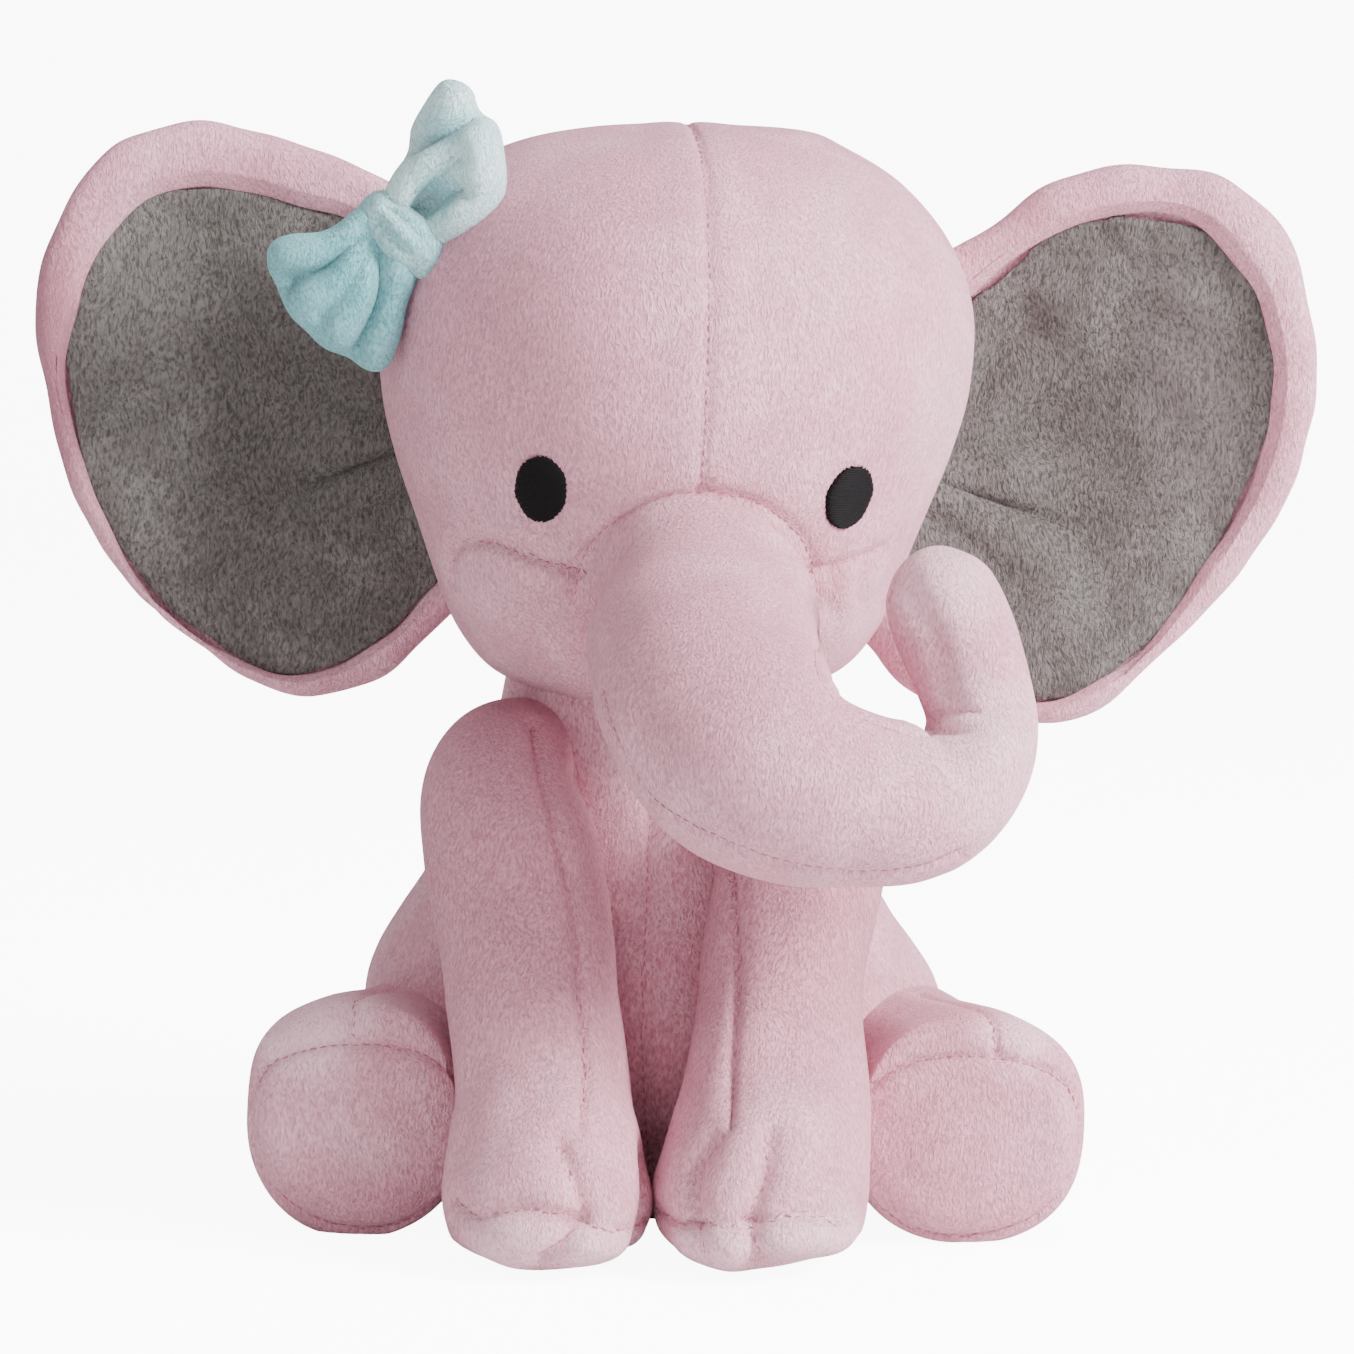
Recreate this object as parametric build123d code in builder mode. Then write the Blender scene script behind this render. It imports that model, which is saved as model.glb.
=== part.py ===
"""Seated plush elephant: sewn plush panels round fibre fill, with soft joints at the neck, ears,
trunk, legs and tail. Millimetres, +Z up, the face towards -Y, so the toy's left side is +X."""

from build123d import *
from math import cos, radians, sin, sqrt
import os

os.makedirs("parts", exist_ok=True)

# Fabric and clearances
SKIN = 2.0  # plush with its backing
FILL_GAP = 0.25  # between a skin and the fibre inside it
FILL = SKIN + FILL_GAP  # inset of the fibre from the outside
JOINT_GAP = 0.6  # between two bodies that turn against each other

# Torso: a pear turned about a vertical axis, with a ball-shaped neck
TORSO_Y = 12.0
SEAT_R = 38.0
HIP_R, HIP_Z = 53.5, 22.0
WAIST_R, WAIST_Z = 51.0, 52.0
CHEST_R, CHEST_Z = 37.0, 92.0
NECK_BALL_R = 30.0
NECK = Vector(0, TORSO_Y, 116)  # centre of the neck ball and of the nod
NECK_FOOT_Z = 112.0  # where the ball meets the chest

# Head: an egg with its wide end up
HEAD_X = 3.5
CROWN_Z = 237.0
BROW_R, BROW_Z = 47.0, 228.0
TEMPLE_R, TEMPLE_Z = 64.5, 190.0
CHEEK_R, CHEEK_Z = 54.0, 148.0
JAW_R, JAW_Z = 30.0, 117.0
CHIN_Z = 114.0

# Eyes: satin-stitched ovals that stand a little proud
EYE_HALF_WIDTH, EYE_HALF_HEIGHT = 5.75, 6.85
EYE_PROUD = 0.9
EYES = {"left": (39.4, 160.0), "right": (-25.8, 162.3)}

# Ears
EAR_Y = 3.5
EAR_THICK = 11.0
EAR_SKIN = 2.5
EAR_LIFT = {"left": -4.0, "right": 4.0}  # the head leans a little to its left
EAR_HEAD_GAP = 2.6
# Outlines from the top of the root round to its foot, as (out from the middle of the head, height)
EAR_RIM = [
    (56, 216),
    (84, 229),
    (109, 232.5),
    (133, 216),
    (140, 184),
    (126, 142),
    (99, 113.5),
    (73, 107),
    (44, 124),
]
EAR_LINING_TOP = [(40, 209), (78, 212), (108, 218.5)]
EAR_LINING_OUTER = [(127, 206), (133, 182), (121, 142)]
EAR_LINING_BOTTOM = [(96, 117.5), (72, 114), (40, 134)]

# Trunk: centre line and radius from the base to the tip, curled up to the toy's left
TRUNK_STATIONS = [
    (8.0, -54.0, 141.0, 26.0),
    (10.5, -73.0, 129.0, 24.5),
    (17.0, -87.0, 114.5, 21.5),
    (29.0, -94.0, 104.5, 19.0),
    (43.0, -96.0, 101.0, 16.8),
    (57.0, -94.5, 103.0, 14.6),
    (65.5, -91.5, 109.5, 13.2),
    (68.5, -87.5, 121.0, 12.5),
    (66.0, -83.5, 131.5, 12.2),
    (61.5, -80.0, 140.5, 11.8),
]

# Front legs: ellipses at rising heights, as (x, y, z, half width, half depth)
SHOULDER = Vector(33, -24, 92)
SHOULDER_R = 20.0
FRONT_LEG_SECTIONS = [
    (24.0, -67.0, 0.0, 18.0, 23.0),
    (24.0, -67.0, 9.0, 20.5, 26.0),
    (24.5, -63.0, 24.0, 19.5, 22.0),
    (27.0, -51.0, 50.0, 18.6, 18.8),
    (31.0, -34.0, 78.0, 19.6, 19.6),
]
SOLE_THICK = 2.0
FRONT_SWING_STEPS = (0, 5, 10, 15, 20)  # degrees of travel that the torso's pocket leaves room for

# Hind legs: round limbs that lie forward along the floor, the flat sole ahead
HIP = Vector(47, 14, 25.5)
HIP_BALL_R = 24.0
HIND_FOOT = Vector(69.0, -46, 24.8)
HIND_FOOT_R = 24.0
HIND_FOOT_ROUND = 8.0
HIND_SOLE_R = 17.5
HIND_LIFT_AXIS = Vector(-0.966, 0, 0.259)  # for the left leg: it rises and spreads
HIND_LIFT_STEPS = (0, 5, 10, 15)  # degrees of travel that the torso's pocket leaves room for

# Bow: two loops and a knot, sewn on at the top of the right ear
BOW_CENTRE = Vector(-57.8, -25.0, 214.2)
BOW_ALONG = Vector(0.66, -0.20, 0.72)
BOW_FACING = Vector(-0.17, -0.97, -0.113)
BOW_HALF_LENGTH, BOW_HALF_WIDTH = 38.0, 17.0
BOW_THROAT = 7.0
BOW_THICK = 9.0
KNOT_LENGTH, KNOT_WIDTH, KNOT_THICK = 12.0, 17.0, 14.0
KNOT_ROUND = 4.0
BOW_CORNER_R = 7.0

# Tail
TAIL_ROOT = Vector(0, 71.8, 34)
TAIL_TIP = Vector(0, 87, 15)
TAIL_R = 5.0
TUFT_R, TUFT_LENGTH = 5.8, 12.0
TUFT_TAPER = 12.0  # degrees
TUFT_ROUND = 2.0

# Care label in the seat seam, blank
LABEL_WIDTH, LABEL_LENGTH, LABEL_THICK = 14.0, 9.0, 0.8
LABEL_Z = 7.0
LABEL_CLEAR = 2.0  # from the seat panel's edge to the label's middle, beyond its own length
LABEL_ANGLE = 62.0  # degrees from +X, seen from above

SIDES = {"left": 1, "right": -1}
OTHER_HALF = {Keep.TOP: Keep.BOTTOM, Keep.BOTTOM: Keep.TOP}


def torso_body(inset):
    """The whole torso, drawn in by inset."""
    ball = NECK_BALL_R - inset
    neck_foot_r = sqrt(ball**2 - (NECK.Z - NECK_FOOT_Z) ** 2)
    with BuildPart() as body:
        with BuildSketch(Plane.XZ.offset(-TORSO_Y)):
            with BuildLine():
                base = Line((0, inset), (SEAT_R - inset, inset))
                flank = Spline(
                    base @ 1,
                    (HIP_R - inset, HIP_Z),
                    (WAIST_R - inset, WAIST_Z),
                    (CHEST_R - inset, CHEST_Z),
                    (neck_foot_r, NECK_FOOT_Z),
                )
                RadiusArc(flank @ 1, (0, NECK.Z + ball), -ball)
                Line((0, NECK.Z + ball), base @ 0)
            make_face()
        revolve(axis=Axis((0, TORSO_Y, 0), (0, 0, 1)))
    return body.part


def head_body(inset):
    """The whole head, drawn in by inset, or grown if inset is negative."""
    with BuildPart() as body:
        with BuildSketch(Plane.XZ):
            with BuildLine():
                side = Spline(
                    (HEAD_X, CROWN_Z - inset),
                    (HEAD_X + BROW_R - inset, BROW_Z - inset / 2),
                    (HEAD_X + TEMPLE_R - inset, TEMPLE_Z),
                    (HEAD_X + CHEEK_R - inset, CHEEK_Z),
                    (HEAD_X + JAW_R - inset / 2, JAW_Z + inset),
                    tangents=[(1, 0), (-1, -0.9)],
                )
                Polyline(side @ 1, (HEAD_X, CHIN_Z + inset), side @ 0)
            make_face()
        revolve(axis=Axis((HEAD_X, 0, 0), (0, 0, 1)))
    return body.part


def ball(centre, radius):
    """A ball about a joint's centre."""
    with BuildPart() as body:
        with Locations(centre):
            Sphere(radius)
    return body.part


def trunk_body(inset):
    """The whole trunk with its ball-shaped root, drawn in by inset."""
    points = [Vector(x, y, z) for x, y, z, _ in TRUNK_STATIONS]
    last = len(points) - 1
    curl_normal = (points[4] - points[0]).cross(points[last] - points[0])
    planes = []
    for index, place in enumerate(points):
        ahead = points[min(index + 1, last)] - points[max(index - 1, 0)]
        planes.append(Plane(origin=place, x_dir=ahead.cross(curl_normal), z_dir=ahead))
    root_r, tip_r = TRUNK_STATIONS[0][3] - inset, TRUNK_STATIONS[last][3] - inset
    with BuildPart() as body:
        for plane, (_, _, _, radius) in zip(planes, TRUNK_STATIONS):
            with BuildSketch(plane):
                Circle(radius - inset)
        loft(ruled=True)
        with Locations(planes[0]):
            Sphere(root_r, arc_size2=0, align=(Align.CENTER, Align.CENTER, Align.NONE))
        with Locations(planes[last]):
            Sphere(tip_r, arc_size1=0, align=(Align.CENTER, Align.CENTER, Align.NONE))
    return body.part


def front_leg_body(side, inset):
    """A front leg with its shoulder ball, drawn in by inset."""
    with BuildPart() as body:
        for x, y, z, half_width, half_depth in FRONT_LEG_SECTIONS:
            with BuildSketch(Plane.XY.offset(z)):
                with Locations((side * x, y)):
                    Ellipse(half_width - inset, half_depth - inset)
        with BuildSketch(Plane.XY.offset(SHOULDER.Z)):
            with Locations((side * SHOULDER.X, SHOULDER.Y)):
                Circle(SHOULDER_R - inset)
        loft()
        with Locations((side * SHOULDER.X, SHOULDER.Y, SHOULDER.Z)):
            Sphere(SHOULDER_R - inset, arc_size1=0, align=(Align.CENTER, Align.CENTER, Align.NONE))
    return body.part


def hind_leg_plane(side):
    """The plane across the hip, with its normal along the leg towards the foot."""
    hip = Vector(side * HIP.X, HIP.Y, HIP.Z)
    foot = Vector(side * HIND_FOOT.X, HIND_FOOT.Y, HIND_FOOT.Z)
    return Plane(origin=hip, z_dir=foot - hip), (foot - hip).length


def hind_leg_body(side, inset):
    """A hind leg with its hip ball, drawn in by inset."""
    across, length = hind_leg_plane(side)
    profile_plane = Plane(origin=across.origin, x_dir=across.x_dir, z_dir=-across.y_dir)
    hip_r, foot_r = HIP_BALL_R - inset, HIND_FOOT_R - inset
    end = length - inset
    with BuildPart() as body:
        with BuildSketch(profile_plane):
            with BuildLine():
                RadiusArc((0, -hip_r), (hip_r, 0), -hip_r)
                Line((hip_r, 0), (foot_r, end - HIND_FOOT_ROUND))
                rim_start = (foot_r, end - HIND_FOOT_ROUND)
                rim_end = (foot_r - HIND_FOOT_ROUND, end)
                RadiusArc(rim_start, rim_end, -HIND_FOOT_ROUND)
                Polyline(rim_end, (0, end), (0, -hip_r))
            make_face()
        revolve(axis=Axis(across.origin, across.z_dir))
    return body.part


def ear_outline(side, lift):
    """Rim of an ear, closed inside the head."""
    with BuildLine() as outline:
        rim = Spline(*[(HEAD_X + side * out, height + lift) for out, height in EAR_RIM])
        Line(rim @ 1, rim @ 0)
    return outline.line


def lining_outline(side, lift, inset=0.0):
    """Edge of the lining that shows inside the rim, closed inside the head."""
    points = [(out, height - inset) for out, height in EAR_LINING_TOP]
    points += [(out - inset, height) for out, height in EAR_LINING_OUTER]
    points += [(out, height + inset) for out, height in EAR_LINING_BOTTOM]
    with BuildLine() as outline:
        edge = Spline(*[(HEAD_X + side * out, height + lift) for out, height in points])
        Line(edge @ 1, edge @ 0)
    return outline.line


head_outside = head_body(0)
head_hollow = head_body(SKIN)
head_clearance = head_body(-EAR_HEAD_GAP)
neck_socket = ball(NECK, NECK_BALL_R + JOINT_GAP)
trunk_root = Vector(*TRUNK_STATIONS[0][:3])
trunk_socket = ball(trunk_root, TRUNK_STATIONS[0][3] + JOINT_GAP)
torso_outside = torso_body(0)
torso_hollow = torso_body(SKIN)

leg_pockets = []
for side in SIDES.values():
    shoulder_axis = Axis((side * SHOULDER.X, SHOULDER.Y, SHOULDER.Z), (-1, 0, 0))
    hip_axis = Axis((side * HIP.X, HIP.Y, HIP.Z), (HIND_LIFT_AXIS.X, 0, side * HIND_LIFT_AXIS.Z))
    front_clearance = front_leg_body(side, -JOINT_GAP)
    hind_clearance = hind_leg_body(side, -JOINT_GAP)
    leg_pockets += [front_clearance.rotate(shoulder_axis, angle) for angle in FRONT_SWING_STEPS]
    leg_pockets += [hind_clearance.rotate(hip_axis, angle) for angle in HIND_LIFT_STEPS]

# Torso
for name, side in SIDES.items():
    with BuildPart() as belly_panel:
        add(torso_outside)
        add(torso_hollow, mode=Mode.SUBTRACT)
        split(bisect_by=Plane.YZ, keep=Keep.TOP if side > 0 else Keep.BOTTOM)
        split(bisect_by=Plane.XZ.offset(-TORSO_Y), keep=Keep.TOP)
        with Locations((0, TORSO_Y, 0)):
            Cylinder(SEAT_R, SKIN, align=(Align.CENTER, Align.CENTER, Align.MIN), mode=Mode.SUBTRACT)
        for pocket in leg_pockets:
            add(pocket, mode=Mode.SUBTRACT)
    belly_panel.part.label = f"belly_panel_{name}"
    export_step(belly_panel.part, f"parts/belly_panel_{name}.step")

    with BuildPart() as back_panel:
        add(torso_outside)
        add(torso_hollow, mode=Mode.SUBTRACT)
        split(bisect_by=Plane.YZ, keep=Keep.TOP if side > 0 else Keep.BOTTOM)
        split(bisect_by=Plane.XZ.offset(-TORSO_Y), keep=Keep.BOTTOM)
        with Locations((0, TORSO_Y, 0)):
            Cylinder(SEAT_R, SKIN, align=(Align.CENTER, Align.CENTER, Align.MIN), mode=Mode.SUBTRACT)
        for pocket in leg_pockets:
            add(pocket, mode=Mode.SUBTRACT)
    back_panel.part.label = f"back_panel_{name}"
    export_step(back_panel.part, f"parts/back_panel_{name}.step")

with BuildPart() as seat_panel:
    with Locations((0, TORSO_Y, 0)):
        Cylinder(SEAT_R, SKIN, align=(Align.CENTER, Align.CENTER, Align.MIN))
    for pocket in leg_pockets:
        add(pocket, mode=Mode.SUBTRACT)
seat_panel.part.label = "seat_panel"
export_step(seat_panel.part, "parts/seat_panel.step")

with BuildPart() as torso_fill:
    add(torso_body(FILL))
    for pocket in leg_pockets:
        add(pocket, mode=Mode.SUBTRACT)
torso_fill.part.label = "torso_fill"
export_step(torso_fill.part, "parts/torso_fill.step")

label_reach = SEAT_R + LABEL_LENGTH + LABEL_CLEAR
with BuildPart() as care_label:
    label_x = label_reach * cos(radians(LABEL_ANGLE))
    label_y = TORSO_Y + label_reach * sin(radians(LABEL_ANGLE))
    with Locations(Location((label_x, label_y, LABEL_Z), (0, 0, LABEL_ANGLE))):
        Box(2 * LABEL_LENGTH, LABEL_WIDTH, LABEL_THICK)
    add(torso_outside, mode=Mode.SUBTRACT)
care_label.part.label = "care_label"
export_step(care_label.part, "parts/care_label.step")

# Head
for name, side in SIDES.items():
    with BuildPart() as head_panel:
        add(head_outside)
        add(head_hollow, mode=Mode.SUBTRACT)
        split(bisect_by=Plane.YZ.offset(HEAD_X), keep=Keep.TOP if side > 0 else Keep.BOTTOM)
        add(neck_socket, mode=Mode.SUBTRACT)
        add(trunk_socket, mode=Mode.SUBTRACT)
    head_panel.part.label = f"head_panel_{name}"
    export_step(head_panel.part, f"parts/head_panel_{name}.step")

    eye_x, eye_z = EYES[name]
    with BuildPart() as eye:
        with BuildSketch(Plane.XZ.offset(TEMPLE_R + EYE_PROUD)):
            with Locations((eye_x, eye_z)):
                Ellipse(EYE_HALF_WIDTH, EYE_HALF_HEIGHT)
        extrude(amount=-TEMPLE_R)
        add(head_body(-EYE_PROUD), mode=Mode.INTERSECT)
        add(head_outside, mode=Mode.SUBTRACT)
    eye.part.label = f"eye_{name}"
    export_step(eye.part, f"parts/eye_{name}.step")

with BuildPart() as head_fill:
    add(head_body(FILL))
    add(neck_socket, mode=Mode.SUBTRACT)
    add(trunk_socket, mode=Mode.SUBTRACT)
head_fill.part.label = "head_fill"
export_step(head_fill.part, "parts/head_fill.step")

bow_plane = Plane(origin=BOW_CENTRE, x_dir=BOW_ALONG, z_dir=BOW_FACING)
with BuildPart() as bow_knot:
    with BuildSketch(bow_plane.offset(-KNOT_THICK / 2)):
        Rectangle(KNOT_LENGTH, KNOT_WIDTH)
    extrude(amount=KNOT_THICK)
    fillet(bow_knot.edges(), KNOT_ROUND)
    add(head_outside, mode=Mode.SUBTRACT)
bow_knot.part.label = "bow_knot"
export_step(bow_knot.part, "parts/bow_knot.step")

with BuildPart() as bow_loops:
    with BuildSketch(bow_plane.offset(-BOW_THICK / 2)):
        with BuildLine():
            Polyline(
                (0, BOW_THROAT),
                (BOW_HALF_LENGTH, BOW_HALF_WIDTH),
                (BOW_HALF_LENGTH, -BOW_HALF_WIDTH),
                (0, -BOW_THROAT),
                (-BOW_HALF_LENGTH, -BOW_HALF_WIDTH),
                (-BOW_HALF_LENGTH, BOW_HALF_WIDTH),
                close=True,
            )
        make_face()
    extrude(amount=BOW_THICK)
    corners = bow_loops.edges().filter_by(Axis(BOW_CENTRE, BOW_FACING))
    outer_corners = corners.sort_by_distance(BOW_CENTRE)[2:]
    fillet(outer_corners, BOW_CORNER_R)
    add(bow_knot.part, mode=Mode.SUBTRACT)
    add(head_outside, mode=Mode.SUBTRACT)
bow_loops.part.label = "bow_loops"
export_step(bow_loops.part, "parts/bow_loops.step")

# Ears
ear_front = Plane.XZ.offset(EAR_THICK / 2 - EAR_Y)
for name, side in SIDES.items():
    lift = EAR_LIFT[name]
    with BuildPart() as ear_back:
        with BuildSketch(ear_front):
            add(ear_outline(side, lift))
            make_face()
        extrude(amount=-EAR_THICK)
        with BuildSketch(ear_front):
            add(lining_outline(side, lift))
            make_face()
        extrude(amount=-(EAR_THICK - EAR_SKIN), mode=Mode.SUBTRACT)
        add(head_clearance, mode=Mode.SUBTRACT)
    ear_back.part.label = f"ear_{name}_back"
    export_step(ear_back.part, f"parts/ear_{name}_back.step")

    with BuildPart() as ear_lining:
        with BuildSketch(ear_front):
            add(lining_outline(side, lift, FILL_GAP))
            make_face()
        extrude(amount=-EAR_SKIN)
        add(head_clearance, mode=Mode.SUBTRACT)
    ear_lining.part.label = f"ear_{name}_lining"
    export_step(ear_lining.part, f"parts/ear_{name}_lining.step")

    with BuildPart() as ear_batting:
        with BuildSketch(ear_front.offset(-EAR_SKIN - FILL_GAP)):
            add(lining_outline(side, lift, FILL_GAP))
            make_face()
        extrude(amount=-(EAR_THICK - 2 * EAR_SKIN - 2 * FILL_GAP))
        add(head_clearance, mode=Mode.SUBTRACT)
    ear_batting.part.label = f"ear_{name}_batting"
    export_step(ear_batting.part, f"parts/ear_{name}_batting.step")

# Trunk: a top panel that faces forward and an under panel behind it, joined along both edges
trunk_bottom = Vector(*TRUNK_STATIONS[4][:3])
trunk_tip = Vector(*TRUNK_STATIONS[-1][:3])
trunk_seam = Plane(origin=trunk_root, z_dir=(trunk_bottom - trunk_root).cross(trunk_tip - trunk_root))
trunk_outside = trunk_body(0)
trunk_hollow = trunk_body(SKIN)
for name, half in (("top", Keep.BOTTOM), ("under", Keep.TOP)):
    with BuildPart() as trunk_panel:
        add(trunk_outside)
        add(trunk_hollow, mode=Mode.SUBTRACT)
        split(bisect_by=trunk_seam, keep=half)
    trunk_panel.part.label = f"trunk_{name}_panel"
    export_step(trunk_panel.part, f"parts/trunk_{name}_panel.step")

with BuildPart() as trunk_fill:
    add(trunk_body(FILL))
trunk_fill.part.label = "trunk_fill"
export_step(trunk_fill.part, "parts/trunk_fill.step")

# Legs
for name, side in SIDES.items():
    front_outside = front_leg_body(side, 0)
    front_hollow = front_leg_body(side, SKIN)
    front_fill_shape = front_leg_body(side, FILL)
    sole_x, sole_y, _, sole_half_width, sole_half_depth = FRONT_LEG_SECTIONS[0]
    with BuildPart() as front_sole:
        with BuildSketch():
            with Locations((side * sole_x, sole_y)):
                Ellipse(sole_half_width - SKIN, sole_half_depth - SKIN)
        extrude(amount=SOLE_THICK)
    front_sole.part.label = f"front_leg_{name}_sole"
    export_step(front_sole.part, f"parts/front_leg_{name}_sole.step")

    leg_lean = Vector(side * (SHOULDER.X - sole_x), SHOULDER.Y - sole_y, SHOULDER.Z)
    leg_seam = Plane(origin=(side * sole_x, sole_y, 0), z_dir=leg_lean.cross(Vector(0, -1, 0)))
    for half_name, half in (("outer", Keep.TOP), ("inner", Keep.BOTTOM)):
        with BuildPart() as front_half:
            add(front_outside)
            add(front_hollow, mode=Mode.SUBTRACT)
            add(front_sole.part, mode=Mode.SUBTRACT)
            split(bisect_by=leg_seam, keep=half if side > 0 else OTHER_HALF[half])
        front_half.part.label = f"front_leg_{name}_{half_name}"
        export_step(front_half.part, f"parts/front_leg_{name}_{half_name}.step")

    with BuildPart() as front_fill:
        add(front_fill_shape)
        split(bisect_by=Plane.XY.offset(SOLE_THICK + FILL_GAP), keep=Keep.TOP)
    front_fill.part.label = f"front_leg_{name}_fill"
    export_step(front_fill.part, f"parts/front_leg_{name}_fill.step")

    across, length = hind_leg_plane(side)
    with BuildPart() as hind_sole:
        with BuildSketch(across.offset(length - SOLE_THICK)):
            Circle(HIND_SOLE_R)
        extrude(amount=SOLE_THICK)
    hind_sole.part.label = f"hind_leg_{name}_sole"
    export_step(hind_sole.part, f"parts/hind_leg_{name}_sole.step")

    hind_outside = hind_leg_body(side, 0)
    hind_hollow = hind_leg_body(side, SKIN)
    hind_seam = Plane(origin=across.origin, z_dir=across.z_dir.cross(Vector(0, 0, 1)))
    for half_name, half in (("outer", Keep.BOTTOM), ("inner", Keep.TOP)):
        with BuildPart() as hind_half:
            add(hind_outside)
            add(hind_hollow, mode=Mode.SUBTRACT)
            add(hind_sole.part, mode=Mode.SUBTRACT)
            split(bisect_by=hind_seam, keep=half if side > 0 else OTHER_HALF[half])
        hind_half.part.label = f"hind_leg_{name}_{half_name}"
        export_step(hind_half.part, f"parts/hind_leg_{name}_{half_name}.step")

    with BuildPart() as hind_fill:
        add(hind_leg_body(side, FILL))
    hind_fill.part.label = f"hind_leg_{name}_fill"
    export_step(hind_fill.part, f"parts/hind_leg_{name}_fill.step")

# Tail
tail_run = TAIL_TIP - TAIL_ROOT
with BuildPart() as tail_tube:
    with BuildSketch(Plane(origin=TAIL_ROOT, z_dir=tail_run)):
        Circle(TAIL_R)
    extrude(amount=tail_run.length)
    with Locations(TAIL_ROOT):
        Sphere(TAIL_R)
tail_tube.part.label = "tail_tube"
export_step(tail_tube.part, "parts/tail_tube.step")

with BuildPart() as tail_tuft:
    with BuildSketch(Plane(origin=TAIL_TIP, z_dir=tail_run)):
        Circle(TUFT_R)
    extrude(amount=TUFT_LENGTH, taper=TUFT_TAPER)
    fillet(tail_tuft.edges().sort_by_distance(TAIL_ROOT)[-1], TUFT_ROUND)
tail_tuft.part.label = "tail_tuft"
export_step(tail_tuft.part, "parts/tail_tuft.step")
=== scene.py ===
import math

import bpy
import numpy as np
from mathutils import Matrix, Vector
from mathutils.bvhtree import BVHTree


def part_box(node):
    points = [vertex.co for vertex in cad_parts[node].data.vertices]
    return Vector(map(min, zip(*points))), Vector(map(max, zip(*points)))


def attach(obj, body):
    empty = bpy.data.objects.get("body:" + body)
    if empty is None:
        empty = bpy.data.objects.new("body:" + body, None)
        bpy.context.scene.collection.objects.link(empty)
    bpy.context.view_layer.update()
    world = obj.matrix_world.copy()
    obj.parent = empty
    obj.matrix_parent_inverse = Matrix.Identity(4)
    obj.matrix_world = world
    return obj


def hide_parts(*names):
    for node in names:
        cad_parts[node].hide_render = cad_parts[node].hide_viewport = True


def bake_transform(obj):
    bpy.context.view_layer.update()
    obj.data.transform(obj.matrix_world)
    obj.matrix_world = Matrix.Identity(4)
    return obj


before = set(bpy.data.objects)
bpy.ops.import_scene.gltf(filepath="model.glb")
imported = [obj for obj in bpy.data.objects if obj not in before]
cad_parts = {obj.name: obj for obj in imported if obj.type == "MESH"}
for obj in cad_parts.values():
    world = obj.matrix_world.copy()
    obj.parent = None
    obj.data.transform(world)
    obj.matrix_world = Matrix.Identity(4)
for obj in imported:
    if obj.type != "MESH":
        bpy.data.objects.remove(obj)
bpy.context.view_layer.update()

MM = 0.001
SCENE = bpy.context.scene


# ------------------------------------------------------------------ camera, floor and light
def aim(obj, place, target):
    obj.location = place
    obj.rotation_mode = "QUATERNION"
    obj.rotation_quaternion = (Vector(target) - Vector(place)).to_track_quat("-Z", "Y")


def make_camera():
    distance, elevation = 1.3, math.radians(7)
    target = (0.0029, 0.0, 0.116)
    camera = bpy.data.objects.new("camera", bpy.data.cameras.new("camera"))
    SCENE.collection.objects.link(camera)
    camera.data.lens = 156.7
    camera.data.sensor_width = 36.0
    place = (
        target[0],
        target[1] - distance * math.cos(elevation),
        target[2] + distance * math.sin(elevation),
    )
    aim(camera, place, target)
    SCENE.camera = camera


def soft_box(name, place, size, power, colour=(1, 1, 1)):
    light = bpy.data.objects.new(name, bpy.data.lights.new(name, "AREA"))
    SCENE.collection.objects.link(light)
    light.data.shape = "SQUARE"
    light.data.size = size
    light.data.energy = power
    light.data.color = colour
    aim(light, place, (0, 0, 0.12))


def make_studio():
    world = bpy.data.worlds.new("studio_air")
    SCENE.world = world
    world.use_nodes = True
    world.node_tree.nodes["Background"].inputs["Color"].default_value = (1.0, 1.0, 1.0, 1)
    world.node_tree.nodes["Background"].inputs["Strength"].default_value = 0.36
    soft_box("key_softbox", (1.2, -0.66, 0.82), 0.5, 68.0)
    soft_box("fill_softbox", (-0.7, -1.0, 0.5), 0.9, 3.5)
    soft_box("top_softbox", (0.05, -0.25, 1.3), 0.8, 9.0)

    mesh = bpy.data.meshes.new("floor")
    half, depth, height, bend = 8.0, 2.2, 3.0, 0.6
    profile = [(-half, 0.0), (depth - bend, 0.0)]
    for step in range(1, 9):
        angle = math.radians(90 * step / 8)
        profile.append((depth - bend + bend * math.sin(angle), bend * (1 - math.cos(angle))))
    profile.append((depth, height))
    corners = [(x, y, z) for y, z in profile for x in (-half, half)]
    faces = [(2 * i, 2 * i + 1, 2 * i + 3, 2 * i + 2) for i in range(len(profile) - 1)]
    mesh.from_pydata(corners, [], faces)
    mesh.shade_smooth()
    floor = bpy.data.objects.new("floor", mesh)
    SCENE.collection.objects.link(floor)
    paper = bpy.data.materials.new("white_paper")
    paper.use_nodes = True
    shader = paper.node_tree.nodes["Principled BSDF"]
    shader.inputs["Base Color"].default_value = (0.93, 0.93, 0.93, 1)
    shader.inputs["Roughness"].default_value = 0.9
    shader.inputs["Emission Color"].default_value = (1, 1, 1, 1)
    path = paper.node_tree.nodes.new("ShaderNodeLightPath")
    glow = paper.node_tree.nodes.new("ShaderNodeMath")
    glow.operation = "MULTIPLY"
    glow.inputs[1].default_value = 9.0
    paper.node_tree.links.new(path.outputs["Is Camera Ray"], glow.inputs[0])
    paper.node_tree.links.new(glow.outputs["Value"], shader.inputs["Emission Strength"])
    mesh.materials.append(paper)


make_camera()
make_studio()


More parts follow.
